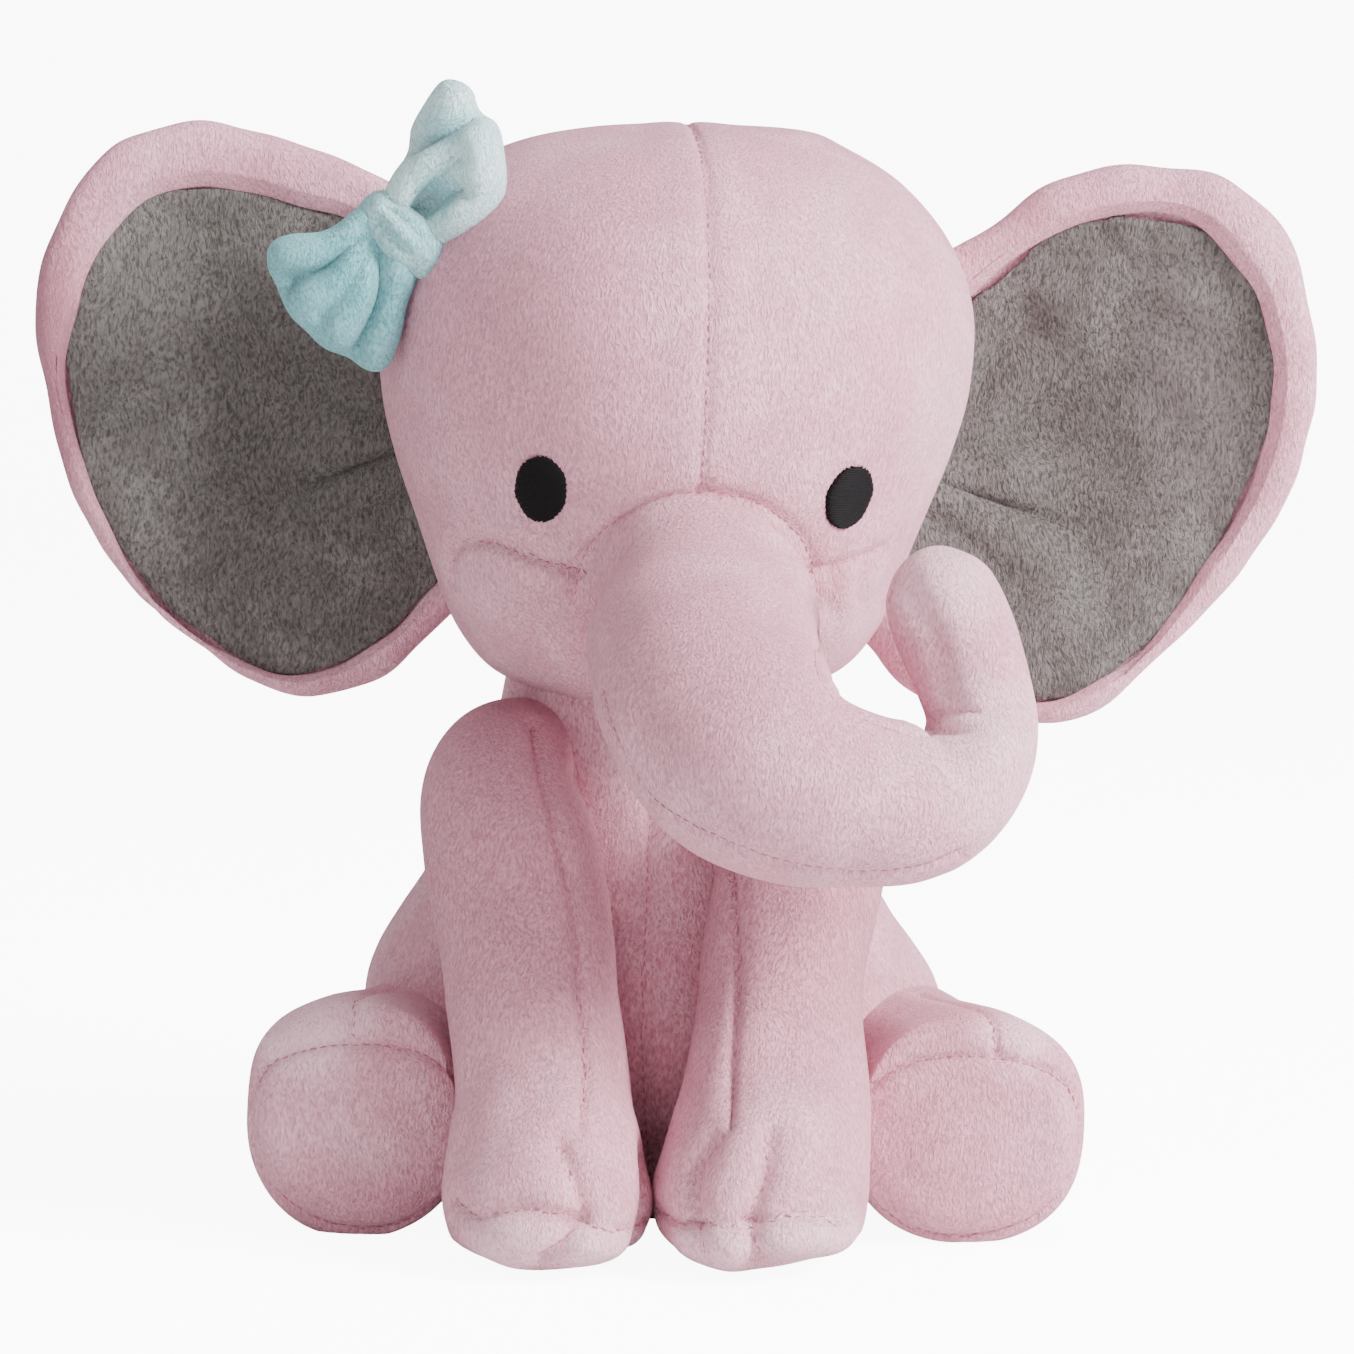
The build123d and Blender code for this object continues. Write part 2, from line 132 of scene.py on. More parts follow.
# ------------------------------------------------------------------ plush, thread and satin
def new_group(name, inputs, outputs):
    group = bpy.data.node_groups.new(name, "ShaderNodeTree")
    for label, kind, value in inputs:
        socket = group.interface.new_socket(label, in_out="INPUT", socket_type=kind)
        socket.default_value = value
    for label, kind in outputs:
        group.interface.new_socket(label, in_out="OUTPUT", socket_type=kind)
    return group, group.nodes.new("NodeGroupInput"), group.nodes.new("NodeGroupOutput")


def pile_with_painted_light_group():
    """Tufts combed along a wandering lie of the pile, with lighter patches where the pile was brushed back, and
    painted light and painted shade in the colour wherever the Nap input says so.
    """
    group, given, result = new_group(
        "pile_with_painted_light",
        [
            ("Tuft Colour", "NodeSocketColor", (0.8, 0.6, 0.65, 1)),
            ("Gap Colour", "NodeSocketColor", (0.6, 0.4, 0.45, 1)),
            ("Brushed Colour", "NodeSocketColor", (0.9, 0.75, 0.78, 1)),
            ("Tuft Size", "NodeSocketFloat", 1000.0),
            ("Nap Stretch", "NodeSocketVector", (1.0, 1.0, 0.4)),
            ("Nap Wander", "NodeSocketFloat", 0.004),
            ("Patch Size", "NodeSocketFloat", 60.0),
            ("Patch Share", "NodeSocketFloat", 0.5),
            ("Gap Share", "NodeSocketFloat", 0.5),
            # Nap carries each piece's attribute: brushed and laid pile, and also painted light and painted shade.
            ("Nap", "NodeSocketFloat", 0.0),
        ],
        [("Colour", "NodeSocketColor"), ("Roughness", "NodeSocketFloat"), ("Height", "NodeSocketFloat")],
    )
    nodes, links = group.nodes, group.links
    place = nodes.new("ShaderNodeTexCoord")

    wander = nodes.new("ShaderNodeTexNoise")
    wander.inputs["Scale"].default_value = 55.0
    wander.inputs["Detail"].default_value = 1.0
    links.new(place.outputs["Object"], wander.inputs["Vector"])
    centred = nodes.new("ShaderNodeVectorMath")
    centred.operation = "SUBTRACT"
    links.new(wander.outputs["Color"], centred.inputs[0])
    centred.inputs[1].default_value = (0.5, 0.5, 0.5)
    scaled = nodes.new("ShaderNodeVectorMath")
    scaled.operation = "SCALE"
    links.new(centred.outputs["Vector"], scaled.inputs[0])
    links.new(given.outputs["Nap Wander"], scaled.inputs["Scale"])
    moved = nodes.new("ShaderNodeVectorMath")
    moved.operation = "ADD"
    links.new(place.outputs["Object"], moved.inputs[0])
    links.new(scaled.outputs["Vector"], moved.inputs[1])
    combed = nodes.new("ShaderNodeVectorMath")
    combed.operation = "MULTIPLY"
    links.new(moved.outputs["Vector"], combed.inputs[0])
    links.new(given.outputs["Nap Stretch"], combed.inputs[1])

    tufts = nodes.new("ShaderNodeTexNoise")
    tufts.inputs["Detail"].default_value = 3.0
    tufts.inputs["Roughness"].default_value = 0.6
    tufts.inputs["Distortion"].default_value = 0.6
    links.new(combed.outputs["Vector"], tufts.inputs["Vector"])
    links.new(given.outputs["Tuft Size"], tufts.inputs["Scale"])
    tuft_edge = nodes.new("ShaderNodeMapRange")
    tuft_edge.inputs["From Min"].default_value = 0.34
    tuft_edge.inputs["From Max"].default_value = 0.62
    links.new(tufts.outputs["Fac"], tuft_edge.inputs["Value"])

    patches = nodes.new("ShaderNodeTexNoise")
    patches.inputs["Detail"].default_value = 4.0
    patches.inputs["Roughness"].default_value = 0.55
    patches.inputs["Distortion"].default_value = 0.8
    links.new(place.outputs["Object"], patches.inputs["Vector"])
    links.new(given.outputs["Patch Size"], patches.inputs["Scale"])
    patch_edge = nodes.new("ShaderNodeMapRange")
    patch_edge.inputs["From Min"].default_value = 0.40
    patch_edge.inputs["From Max"].default_value = 0.66
    links.new(patches.outputs["Fac"], patch_edge.inputs["Value"])
    patch_share = nodes.new("ShaderNodeMath")
    patch_share.operation = "MULTIPLY"
    links.new(patch_edge.outputs["Result"], patch_share.inputs[0])
    links.new(given.outputs["Patch Share"], patch_share.inputs[1])
    # Painted light: a positive Nap mixes in more of the lighter brushed colour.
    with_nap_and_painted_light = nodes.new("ShaderNodeMath")
    with_nap_and_painted_light.operation = "ADD"
    with_nap_and_painted_light.use_clamp = True
    links.new(patch_share.outputs["Value"], with_nap_and_painted_light.inputs[0])
    links.new(given.outputs["Nap"], with_nap_and_painted_light.inputs[1])

    gap = nodes.new("ShaderNodeMath")
    gap.operation = "SUBTRACT"
    gap.inputs[0].default_value = 1.0
    links.new(tuft_edge.outputs["Result"], gap.inputs[1])
    gap_share = nodes.new("ShaderNodeMath")
    gap_share.operation = "MULTIPLY"
    links.new(gap.outputs["Value"], gap_share.inputs[0])
    links.new(given.outputs["Gap Share"], gap_share.inputs[1])

    brushed = nodes.new("ShaderNodeMix")
    brushed.data_type = "RGBA"
    links.new(with_nap_and_painted_light.outputs["Value"], brushed.inputs["Factor"])
    links.new(given.outputs["Tuft Colour"], brushed.inputs["A"])
    links.new(given.outputs["Brushed Colour"], brushed.inputs["B"])
    final = nodes.new("ShaderNodeMix")
    final.data_type = "RGBA"
    laid = nodes.new("ShaderNodeMath")
    laid.operation = "SUBTRACT"
    laid.use_clamp = True
    links.new(gap_share.outputs["Value"], laid.inputs[0])
    # Painted shade: a negative Nap raises the share of the darker gap colour.
    nap_and_painted_light_part = nodes.new("ShaderNodeMath")
    nap_and_painted_light_part.operation = "MULTIPLY"
    links.new(given.outputs["Nap"], nap_and_painted_light_part.inputs[0])
    nap_and_painted_light_part.inputs[1].default_value = 0.2
    links.new(nap_and_painted_light_part.outputs["Value"], laid.inputs[1])
    links.new(laid.outputs["Value"], final.inputs["Factor"])
    links.new(brushed.outputs["Result"], final.inputs["A"])
    links.new(given.outputs["Gap Colour"], final.inputs["B"])
    links.new(final.outputs["Result"], result.inputs["Colour"])

    rough = nodes.new("ShaderNodeMapRange")
    rough.inputs["To Min"].default_value = 0.95
    rough.inputs["To Max"].default_value = 0.72
    links.new(patches.outputs["Fac"], rough.inputs["Value"])
    links.new(rough.outputs["Result"], result.inputs["Roughness"])
    links.new(tufts.outputs["Fac"], result.inputs["Height"])
    return group


PILE_WITH_PAINTED_LIGHT = pile_with_painted_light_group()


def plush(name, tuft, gap, brushed, tuft_size, stretch, wander, patch_share, gap_share, depth, sheen):
    material = bpy.data.materials.new(name)
    material.use_nodes = True
    nodes, links = material.node_tree.nodes, material.node_tree.links
    shader = nodes["Principled BSDF"]
    pile = nodes.new("ShaderNodeGroup")
    pile.node_tree = PILE_WITH_PAINTED_LIGHT
    pile.inputs["Tuft Colour"].default_value = (*tuft, 1)
    pile.inputs["Gap Colour"].default_value = (*gap, 1)
    pile.inputs["Brushed Colour"].default_value = (*brushed, 1)
    pile.inputs["Tuft Size"].default_value = tuft_size
    pile.inputs["Nap Stretch"].default_value = stretch
    pile.inputs["Nap Wander"].default_value = wander
    pile.inputs["Patch Share"].default_value = patch_share
    pile.inputs["Gap Share"].default_value = gap_share
    # This attribute holds brushed and laid pile, and also painted light and painted shade.
    nap_and_painted_light = nodes.new("ShaderNodeAttribute")
    nap_and_painted_light.attribute_name = "nap_and_painted_light"
    links.new(nap_and_painted_light.outputs["Fac"], pile.inputs["Nap"])
    bump = nodes.new("ShaderNodeBump")
    bump.inputs["Strength"].default_value = 1.0
    bump.inputs["Distance"].default_value = depth
    links.new(pile.outputs["Colour"], shader.inputs["Base Color"])
    links.new(pile.outputs["Roughness"], shader.inputs["Roughness"])
    links.new(pile.outputs["Height"], bump.inputs["Height"])
    links.new(bump.outputs["Normal"], shader.inputs["Normal"])
    shader.inputs["Sheen Weight"].default_value = sheen
    shader.inputs["Sheen Roughness"].default_value = 0.45
    shader.inputs["Sheen Tint"].default_value = (*brushed, 1)
    shader.inputs["Specular IOR Level"].default_value = 0.15
    return material


def thread(name, colour, roughness, grain_scale, gloss=0.2):
    """Twisted sewing thread with a fine lengthwise grain."""
    material = bpy.data.materials.new(name)
    material.use_nodes = True
    nodes, links = material.node_tree.nodes, material.node_tree.links
    shader = nodes["Principled BSDF"]
    place = nodes.new("ShaderNodeTexCoord")
    grain = nodes.new("ShaderNodeTexNoise")
    grain.inputs["Scale"].default_value = grain_scale
    grain.inputs["Detail"].default_value = 2.0
    links.new(place.outputs["Object"], grain.inputs["Vector"])
    shade = nodes.new("ShaderNodeMix")
    shade.data_type = "RGBA"
    shade.inputs["A"].default_value = (*[c * 0.7 for c in colour], 1)
    shade.inputs["B"].default_value = (*[min(1, c * 1.25) for c in colour], 1)
    links.new(grain.outputs["Fac"], shade.inputs["Factor"])
    links.new(shade.outputs["Result"], shader.inputs["Base Color"])
    bump = nodes.new("ShaderNodeBump")
    bump.inputs["Distance"].default_value = 0.0001
    links.new(grain.outputs["Fac"], bump.inputs["Height"])
    links.new(bump.outputs["Normal"], shader.inputs["Normal"])
    shader.inputs["Roughness"].default_value = roughness
    shader.inputs["Specular IOR Level"].default_value = gloss
    return material


PINK = plush(
    "pink_plush", (0.78, 0.375, 0.47), (0.43, 0.175, 0.228), (0.89, 0.55, 0.635),
    1700.0, (1.0, 1.0, 0.42), 0.006, 0.55, 0.72, 0.0009, 0.24,
)
GREY = plush(
    "grey_plush", (0.150, 0.134, 0.127), (0.042, 0.037, 0.034), (0.240, 0.220, 0.210),
    1600.0, (1.0, 1.0, 0.42), 0.006, 0.6, 0.82, 0.0010, 0.18,
)
MINT = plush(
    "mint_plush", (0.36, 0.68, 0.73), (0.10, 0.34, 0.37), (0.72, 0.93, 0.95),
    1700.0, (1.0, 1.0, 0.5), 0.006, 0.60, 0.70, 0.0012, 0.32,
)
BLACK_THREAD = thread("black_thread", (0.005, 0.004, 0.005), 0.6, 2500.0, gloss=0.12)
PINK_THREAD = thread("pink_thread", (0.50, 0.18, 0.235), 0.75, 2500.0)
GREY_THREAD = thread("grey_thread", (0.085, 0.072, 0.068), 0.75, 2500.0)
SATIN = thread("label_satin", (0.82, 0.82, 0.82), 0.35, 1500.0)


# ------------------------------------------------------------------ surfaces, in millimetres
def smooth_path(points, count):
    """Evenly spaced samples of the smooth curve through the points, whatever values each holds."""
    rows = np.array(points, float)
    ends = np.vstack([2 * rows[0] - rows[1], rows, 2 * rows[-1] - rows[-2]])
    fine = []
    per_span = 24
    for i in range(len(rows) - 1):
        a, b, c, d = ends[i : i + 4]
        for step in range(per_span):
            t = step / per_span
            fine.append(
                0.5 * (2 * b + (c - a) * t + (2 * a - 5 * b + 4 * c - d) * t**2 + (3 * b - a - 3 * c + d) * t**3)
            )
    fine.append(rows[-1])
    fine = np.array(fine)
    along = np.concatenate([[0], np.cumsum(np.linalg.norm(np.diff(fine[:, :3], axis=0), axis=1))])
    wanted = np.linspace(0, along[-1], count) if np.isscalar(count) else np.asarray(count) * along[-1]
    return np.stack([np.interp(wanted, along, fine[:, k]) for k in range(fine.shape[1])], axis=1)


def closing_spacing(count):
    """Shares of a length from 0 to 1, closer together at both ends."""
    even = np.linspace(0, 1, count)
    return 0.35 * even + 0.65 * (1 - np.cos(np.pi * even)) / 2


def unit(rows):
    return rows / np.maximum(np.linalg.norm(rows, axis=-1, keepdims=True), 1e-9)


def build_piece(name, verts, faces, material):
    """A smooth mesh object from vertices in millimetres."""
    mesh = bpy.data.meshes.new(name)
    mesh.from_pydata((np.asarray(verts) * MM).tolist(), [], faces)
    mesh.validate()
    mesh.calc_loop_triangles()
    corners = np.zeros(len(mesh.loop_triangles) * 3, np.int32)
    mesh.loop_triangles.foreach_get("vertices", corners)
    a, b, c = np.asarray(verts)[corners].reshape(-1, 3, 3).transpose(1, 0, 2)
    if (a * np.cross(b, c)).sum() < 0:
        mesh.flip_normals()
    mesh.shade_smooth()
    mesh.materials.append(material)
    piece = bpy.data.objects.new(name, mesh)
    SCENE.collection.objects.link(piece)
    return piece


def ring_faces(rings, around, start=0):
    """Quads between successive rings that close round."""
    faces = []
    for i in range(rings - 1):
        for j in range(around):
            k = (j + 1) % around
            faces.append((start + i * around + j, start + i * around + k, start + (i + 1) * around + k, start + (i + 1) * around + j))
    return faces


def capped_rings(name, rings, material):
    """A closed surface from an array of rings, with a point cap at each end."""
    count, around = rings.shape[:2]
    verts = np.vstack([rings.reshape(-1, 3), rings[0].mean(0), rings[-1].mean(0)])
    faces = ring_faces(count, around)
    first, last = count * around, count * around + 1
    for j in range(around):
        k = (j + 1) % around
        faces.append((first, k, j))
        faces.append((last, (count - 1) * around + j, (count - 1) * around + k))
    return build_piece(name, verts, faces, material)


def sleeve_rings(stations, side, along, around, round_start, round_end, squareness=2.0):
    """Rings of a stuffed tube through stations of (x, y, z, half width, half depth), rounded shut at both ends."""
    path = smooth_path(stations, closing_spacing(along))
    centre = path[:, :3]
    length = np.concatenate([[0], np.cumsum(np.linalg.norm(np.diff(centre, axis=0), axis=1))])
    ahead = unit(np.gradient(centre, length, axis=0))
    across = unit(np.array(side, float) - (ahead @ np.array(side, float))[:, None] * ahead)
    front = np.cross(ahead, across)
    close = np.ones(along)
    near_start = length < round_start
    close[near_start] = np.sqrt(1 - (1 - length[near_start] / round_start) ** 2)
    to_end = length[-1] - length
    near_end = to_end < round_end
    close[near_end] = np.sqrt(np.maximum(1 - (1 - to_end[near_end] / round_end) ** 2, 0))
    close[0] = close[-1] = 0.02
    turn = np.linspace(0, 2 * np.pi, around, endpoint=False)
    c, s = np.cos(turn), np.sin(turn)
    power = 2 / squareness
    c = np.sign(c) * np.abs(c) ** power
    s = np.sign(s) * np.abs(s) ** power
    wide = (path[:, 3] * close)[:, None, None] * c[None, :, None] * across[:, None, :]
    deep = (path[:, 4] * close)[:, None, None] * s[None, :, None] * front[:, None, :]
    return centre[:, None, :] + wide + deep


def coordinates(piece):
    co = np.zeros(len(piece.data.vertices) * 3)
    piece.data.vertices.foreach_get("co", co)
    return co.reshape(-1, 3) / MM


def normals(piece):
    piece.data.update()
    n = np.zeros(len(piece.data.vertices) * 3)
    piece.data.vertex_normals.foreach_get("vector", n)
    return n.reshape(-1, 3)


def set_coordinates(piece, co):
    piece.data.vertices.foreach_set("co", (co * MM).astype(np.float32).ravel())
    piece.data.update()


def distance_to(points, line):
    """Distance of each point from a line given as close samples."""
    best = np.full(len(points), 1e9)
    for start in range(0, len(line), 32):
        part = line[start : start + 32]
        gap = np.linalg.norm(points[:, None, :] - part[None, :, :], axis=2).min(1)
        best = np.minimum(best, gap)
    return best


def press(piece, line, depth, width, swell=0.0, swell_width=6.0, fade=0.0):
    """Pushes a seam or fold into the surface, and swells the stuffing on both sides of it."""
    co, n = coordinates(piece), normals(piece)
    low, high = line.min(0) - 4 * swell_width, line.max(0) + 4 * swell_width
    near = np.all((co > low) & (co < high), axis=1)
    d = distance_to(co[near], line)
    strength = np.ones(near.sum())
    if fade:
        strength = np.clip(np.linalg.norm(co[near] - line[-1], axis=1) / fade, 0, 1) ** 0.7
    push = -depth * np.exp(-((d / width) ** 2)) + swell * np.exp(-((d / swell_width - 1.2) ** 2))
    co[near] += n[near] * (push * strength)[:, None]
    set_coordinates(piece, co)


def bulge(piece, centre, radius, height, facing=None):
    """A rounded swelling, or a dent if height is negative."""
    co, n = coordinates(piece), normals(piece)
    offset = (co - np.array(centre, float)) / np.array(radius, float)
    amount = height * np.exp(-(offset**2).sum(1))
    if facing is not None:
        amount *= np.clip((n @ np.array(facing, float)) * 2, 0, 1)
    set_coordinates(piece, co + n * amount[:, None])


def paint_nap_and_light(piece, centre, radius, amount):
    """Lighter round a place, darker if amount is negative: pile brushed back or laid down, and at some calls painted
    light and painted shade.
    """
    mesh = piece.data
    nap_and_painted_light = mesh.attributes.get("nap_and_painted_light") or mesh.attributes.new("nap_and_painted_light", "FLOAT", "POINT")
    values = np.zeros(len(mesh.vertices), np.float32)
    nap_and_painted_light.data.foreach_get("value", values)
    offset = (coordinates(piece) - np.array(centre, float)) / np.array(radius, float)
    far = (offset**2).sum(1)
    values += amount * np.exp(-(far**2))
    nap_and_painted_light.data.foreach_set("value", values)


def ripples(points, wavelength, seed):
    """Smooth unevenness between about -1 and 1, from a few crossed waves."""
    rng = np.random.default_rng(seed)
    total = np.zeros(len(points))
    waves = 9
    for _ in range(waves):
        direction = unit(rng.normal(size=3))
        phase = rng.uniform(0, 2 * np.pi)
        stretch = rng.uniform(0.75, 1.4)
        total += np.sin(points @ direction * (2 * np.pi / (wavelength * stretch)) + phase)
    return total / np.sqrt(waves)


def uneven(piece, wavelength, height, seed):
    """Lumps of the stuffing showing through."""
    co, n = coordinates(piece), normals(piece)
    set_coordinates(piece, co + n * (ripples(co, wavelength, seed) * height)[:, None])


def rest_on_floor(piece):
    """Flattens whatever would sink below the floor."""
    co = coordinates(piece)
    co[:, 2] = np.maximum(co[:, 2], 0.2)
    set_coordinates(piece, co)


def surface_tree(piece):
    dg = bpy.context.evaluated_depsgraph_get()
    return BVHTree.FromObject(piece, dg)


def front_line(piece, points, count=60, lift=0.0):
    """The line on the front of a piece that shows at these (x, z) points."""
    flat = smooth_path([(x, 0.0, z) for x, z in points], count)
    tree, found = surface_tree(piece), []
    for x, _, z in flat:
        hit = tree.ray_cast(Vector((x * MM, -0.4, z * MM)), Vector((0, 1, 0)))[0]
        if hit is not None:
            found.append((hit[0] / MM, hit[1] / MM - lift, hit[2] / MM))
    return np.array(found)


def nearest_line(piece, points, count=60):
    """The line on a piece nearest to a path through these (x, y, z) points."""
    tree, found = surface_tree(piece), []
    for point in smooth_path(points, count):
        hit = tree.find_nearest(Vector(point * MM))[0]
        found.append(np.array(hit) / MM)
    return np.array(found)


# ------------------------------------------------------------------ stitches, by Geometry Nodes
def stitch_tree():
    """Short round-ended stitches laid end to end along a line."""
    tree = bpy.data.node_groups.new("stitch_run", "GeometryNodeTree")
    face = tree.interface
    face.new_socket("Geometry", in_out="INPUT", socket_type="NodeSocketGeometry")
    for label, value in (("Pitch", 0.0024), ("Stitch Length", 0.0017), ("Thread Radius", 0.00022)):
        socket = face.new_socket(label, in_out="INPUT", socket_type="NodeSocketFloat")
        socket.default_value = value
    face.new_socket("Thread", in_out="INPUT", socket_type="NodeSocketMaterial")
    face.new_socket("Geometry", in_out="OUTPUT", socket_type="NodeSocketGeometry")
    nodes, links = tree.nodes, tree.links
    given, result = nodes.new("NodeGroupInput"), nodes.new("NodeGroupOutput")
    points = nodes.new("GeometryNodeCurveToPoints")
    points.mode = "LENGTH"
    links.new(given.outputs["Geometry"], points.inputs["Curve"])
    links.new(given.outputs["Pitch"], points.inputs["Length"])
    run = nodes.new("GeometryNodeCurvePrimitiveLine")
    run.mode = "DIRECTION"
    run.inputs["Direction"].default_value = (0, 0, 1)
    links.new(given.outputs["Stitch Length"], run.inputs["Length"])
    resample = nodes.new("GeometryNodeResampleCurve")
    resample.inputs["Count"].default_value = 5
    links.new(run.outputs["Curve"], resample.inputs["Curve"])
    taper = nodes.new("ShaderNodeFloatCurve")
    curve = taper.mapping.curves[0]
    curve.points[0].location = (0.0, 0.35)
    curve.points[1].location = (1.0, 0.35)
    curve.points.new(0.25, 1.0)
    curve.points.new(0.75, 1.0)
    place = nodes.new("GeometryNodeSplineParameter")
    links.new(place.outputs["Factor"], taper.inputs["Value"])
    radius = nodes.new("GeometryNodeSetCurveRadius")
    links.new(resample.outputs["Curve"], radius.inputs["Curve"])
    links.new(taper.outputs["Value"], radius.inputs["Radius"])
    ring = nodes.new("GeometryNodeCurvePrimitiveCircle")
    ring.inputs["Resolution"].default_value = 6
    links.new(given.outputs["Thread Radius"], ring.inputs["Radius"])
    tube = nodes.new("GeometryNodeCurveToMesh")
    tube.inputs["Fill Caps"].default_value = True
    links.new(radius.outputs["Curve"], tube.inputs["Curve"])
    links.new(ring.outputs["Curve"], tube.inputs["Profile Curve"])
    if "Scale" in tube.inputs:
        links.new(taper.outputs["Value"], tube.inputs["Scale"])
    laid = nodes.new("GeometryNodeInstanceOnPoints")
    links.new(points.outputs["Points"], laid.inputs["Points"])
    links.new(tube.outputs["Mesh"], laid.inputs["Instance"])
    links.new(points.outputs["Rotation"], laid.inputs["Rotation"])
    real = nodes.new("GeometryNodeRealizeInstances")
    links.new(laid.outputs["Instances"], real.inputs["Geometry"])
    paint = nodes.new("GeometryNodeSetMaterial")
    links.new(real.outputs["Geometry"], paint.inputs["Geometry"])
    links.new(given.outputs["Thread"], paint.inputs["Material"])
    links.new(paint.outputs["Geometry"], result.inputs["Geometry"])
    return tree


STITCH_RUN = stitch_tree()


def set_input(modifier, label, value):
    for item in modifier.node_group.interface.items_tree:
        if item.item_type == "SOCKET" and item.in_out == "INPUT" and item.name == label:
            modifier[item.identifier] = value


def plain_mesh(obj, name):
    """The evaluated mesh of an object as a new plain object, and the old one removed."""
    dg = bpy.context.evaluated_depsgraph_get()
    mesh = bpy.data.meshes.new_from_object(obj.evaluated_get(dg), depsgraph=dg)
    old = obj.data
    bpy.data.objects.remove(obj)
    if isinstance(old, bpy.types.Curve):
        bpy.data.curves.remove(old)
    piece = bpy.data.objects.new(name, mesh)
    mesh.name = name
    SCENE.collection.objects.link(piece)
    return piece


def stitched(name, lines, material, pitch=2.4, length=1.6, radius=0.2):
    """One piece with every stitch of the given lines, in millimetres."""
    curve = bpy.data.curves.new(name, "CURVE")
    curve.dimensions = "3D"
    for line in lines:
        spline = curve.splines.new("POLY")
        spline.points.add(len(line) - 1)
        for point, place in zip(spline.points, line):
            point.co = (*(np.array(place) * MM), 1)
    holder = bpy.data.objects.new(name + "_path", curve)
    SCENE.collection.objects.link(holder)
    modifier = holder.modifiers.new("stitches", "NODES")
    modifier.node_group = STITCH_RUN
    set_input(modifier, "Pitch", pitch * MM)
    set_input(modifier, "Stitch Length", length * MM)
    set_input(modifier, "Thread Radius", radius * MM)
    set_input(modifier, "Thread", material)
    piece = plain_mesh(holder, name)
    piece.data.shade_smooth()
    return piece


# ------------------------------------------------------------------ head
# Rows down the head: height, side edges, half depth to the front and to the back.
HEAD_ROWS = [
    (237.6, 6.0, 8.0, 1.0, 1.0),
    (236.5, -16.0, 30.0, 20.0, 20.0),
    (233.0, -33.5, 39.5, 36.0, 36.0),
    (225.0, -49.0, 52.0, 48.0, 49.0),
    (212.0, -58.5, 62.5, 57.0, 58.0),
    (197.0, -61.5, 67.5, 61.5, 61.0),
    (180.0, -61.0, 66.5, 62.0, 60.0),
    (166.0, -58.5, 62.5, 59.5, 56.0),
    (152.0, -54.5, 57.0, 54.5, 50.0),
    (138.0, -50.0, 51.5, 48.5, 43.0),
    (127.0, -45.0, 47.0, 42.0, 36.0),
    (118.0, -37.0, 39.0, 34.0, 28.0),
    (112.5, -24.0, 25.0, 24.0, 18.0),
    (110.5, -10.0, 11.0, 10.0, 8.0),
    (110.2, 0.0, 1.0, 1.0, 1.0),
]
HEAD_ALONG, HEAD_AROUND = 240, 320


def head_rings():
    rows = np.array(HEAD_ROWS)
    middle = (rows[:, 1] + rows[:, 2]) / 2
    half = (rows[:, 2] - rows[:, 1]) / 2
    table = np.stack([half, rows[:, 0], np.zeros(len(rows)), middle, rows[:, 3], rows[:, 4]], axis=1)
    path = smooth_path(table, HEAD_ALONG)
    turn = np.linspace(0, 2 * np.pi, HEAD_AROUND, endpoint=False)
    c, s = np.cos(turn), np.sin(turn)
    x = path[:, 3][:, None] + path[:, 0][:, None] * c
    depth = np.where(s[None, :] < 0, path[:, 4][:, None], path[:, 5][:, None])
    y = depth * s
    z = np.repeat(path[:, 1][:, None], HEAD_AROUND, axis=1)
    return np.stack([x, y, z], axis=2)[::-1]


head = capped_rings("head_skin", head_rings(), PINK)
uneven(head, 46, 0.45, 3)
# cheeks below the darts, and the soft hollow under each eye
bulge(head, (-38, -36, 136), (15, 14, 12), 2.6)
bulge(head, (40, -36, 134), (14, 14, 14), 2.0)
bulge(head, (-25, -50, 149), (9, 10, 3.2), -1.0)

centre_seam = np.array(
    [tuple(place) for place in smooth_path(
        [(8.6, -64, 161), (9.4, -66, 177), (10.5, -66, 202), (9.6, -52, 223), (7.0, -26, 235),
         (5.0, 0, 239), (3.5, 30, 236), (2.5, 55, 220), (1.5, 66, 190), (1.0, 60, 160), (1.0, 46, 135)], 160)]
)
centre_seam = nearest_line(head, centre_seam, 220)
dart_right = front_line(head, [(-17, 144), (-28, 147), (-37, 150), (-43.5, 148.5), (-46, 143)], 50)
dart_left = front_line(head, [(30, 143.5), (39, 145.5), (47, 147)], 40)
trunk_arc = front_line(
    head, [(-18.8, 139), (-17.8, 146.0), (-13.0, 153.2), (-3, 159.4), (8.8, 162.2), (20.4, 159.2), (28.6, 152.2), (32.4, 143.5), (32.8, 136)], 90
)
press(head, centre_seam, 0.9, 0.9, 0.35, 4.0)
press(head, trunk_arc, 1.2, 1.3, 0.3, 5.0)
press(head, dart_right, 1.7, 1.5, 0.7, 5.0)
press(head, dart_left, 1.4, 1.6, 0.5, 5.0)
for fold in (
    [(-41, 146), (-36, 141), (-35, 135)],
    [(-46, 140), (-43, 136), (-42.5, 131)],
    [(36, 143), (35.5, 137), (38, 131)],
    [(43, 144), (42, 139), (43, 134)],
):
    press(head, front_line(head, fold, 24), 0.8, 1.8, 0.35, 4.0, fade=8)

# Painted light on the key-lit left of the forehead, and painted shade on its shaded right.
paint_nap_and_light(head, (28, -50, 205), (26, 30, 26), 0.1)
paint_nap_and_light(head, (-30, -50, 200), (26, 30, 34), -0.4)
paint_nap_and_light(head, (-45, -40, 140), (14, 20, 12), 0.2)
# Painted light on the key-lit left temple.
paint_nap_and_light(head, (62, -10, 180), (12, 40, 30), 0.3)
head_stitches = stitched("head_seam_stitches", [
    nearest_line(head, centre_seam, 260), nearest_line(head, trunk_arc, 100),
    nearest_line(head, dart_right, 60), nearest_line(head, dart_left, 40),
], PINK_THREAD, pitch=2.3, length=1.5, radius=0.16)


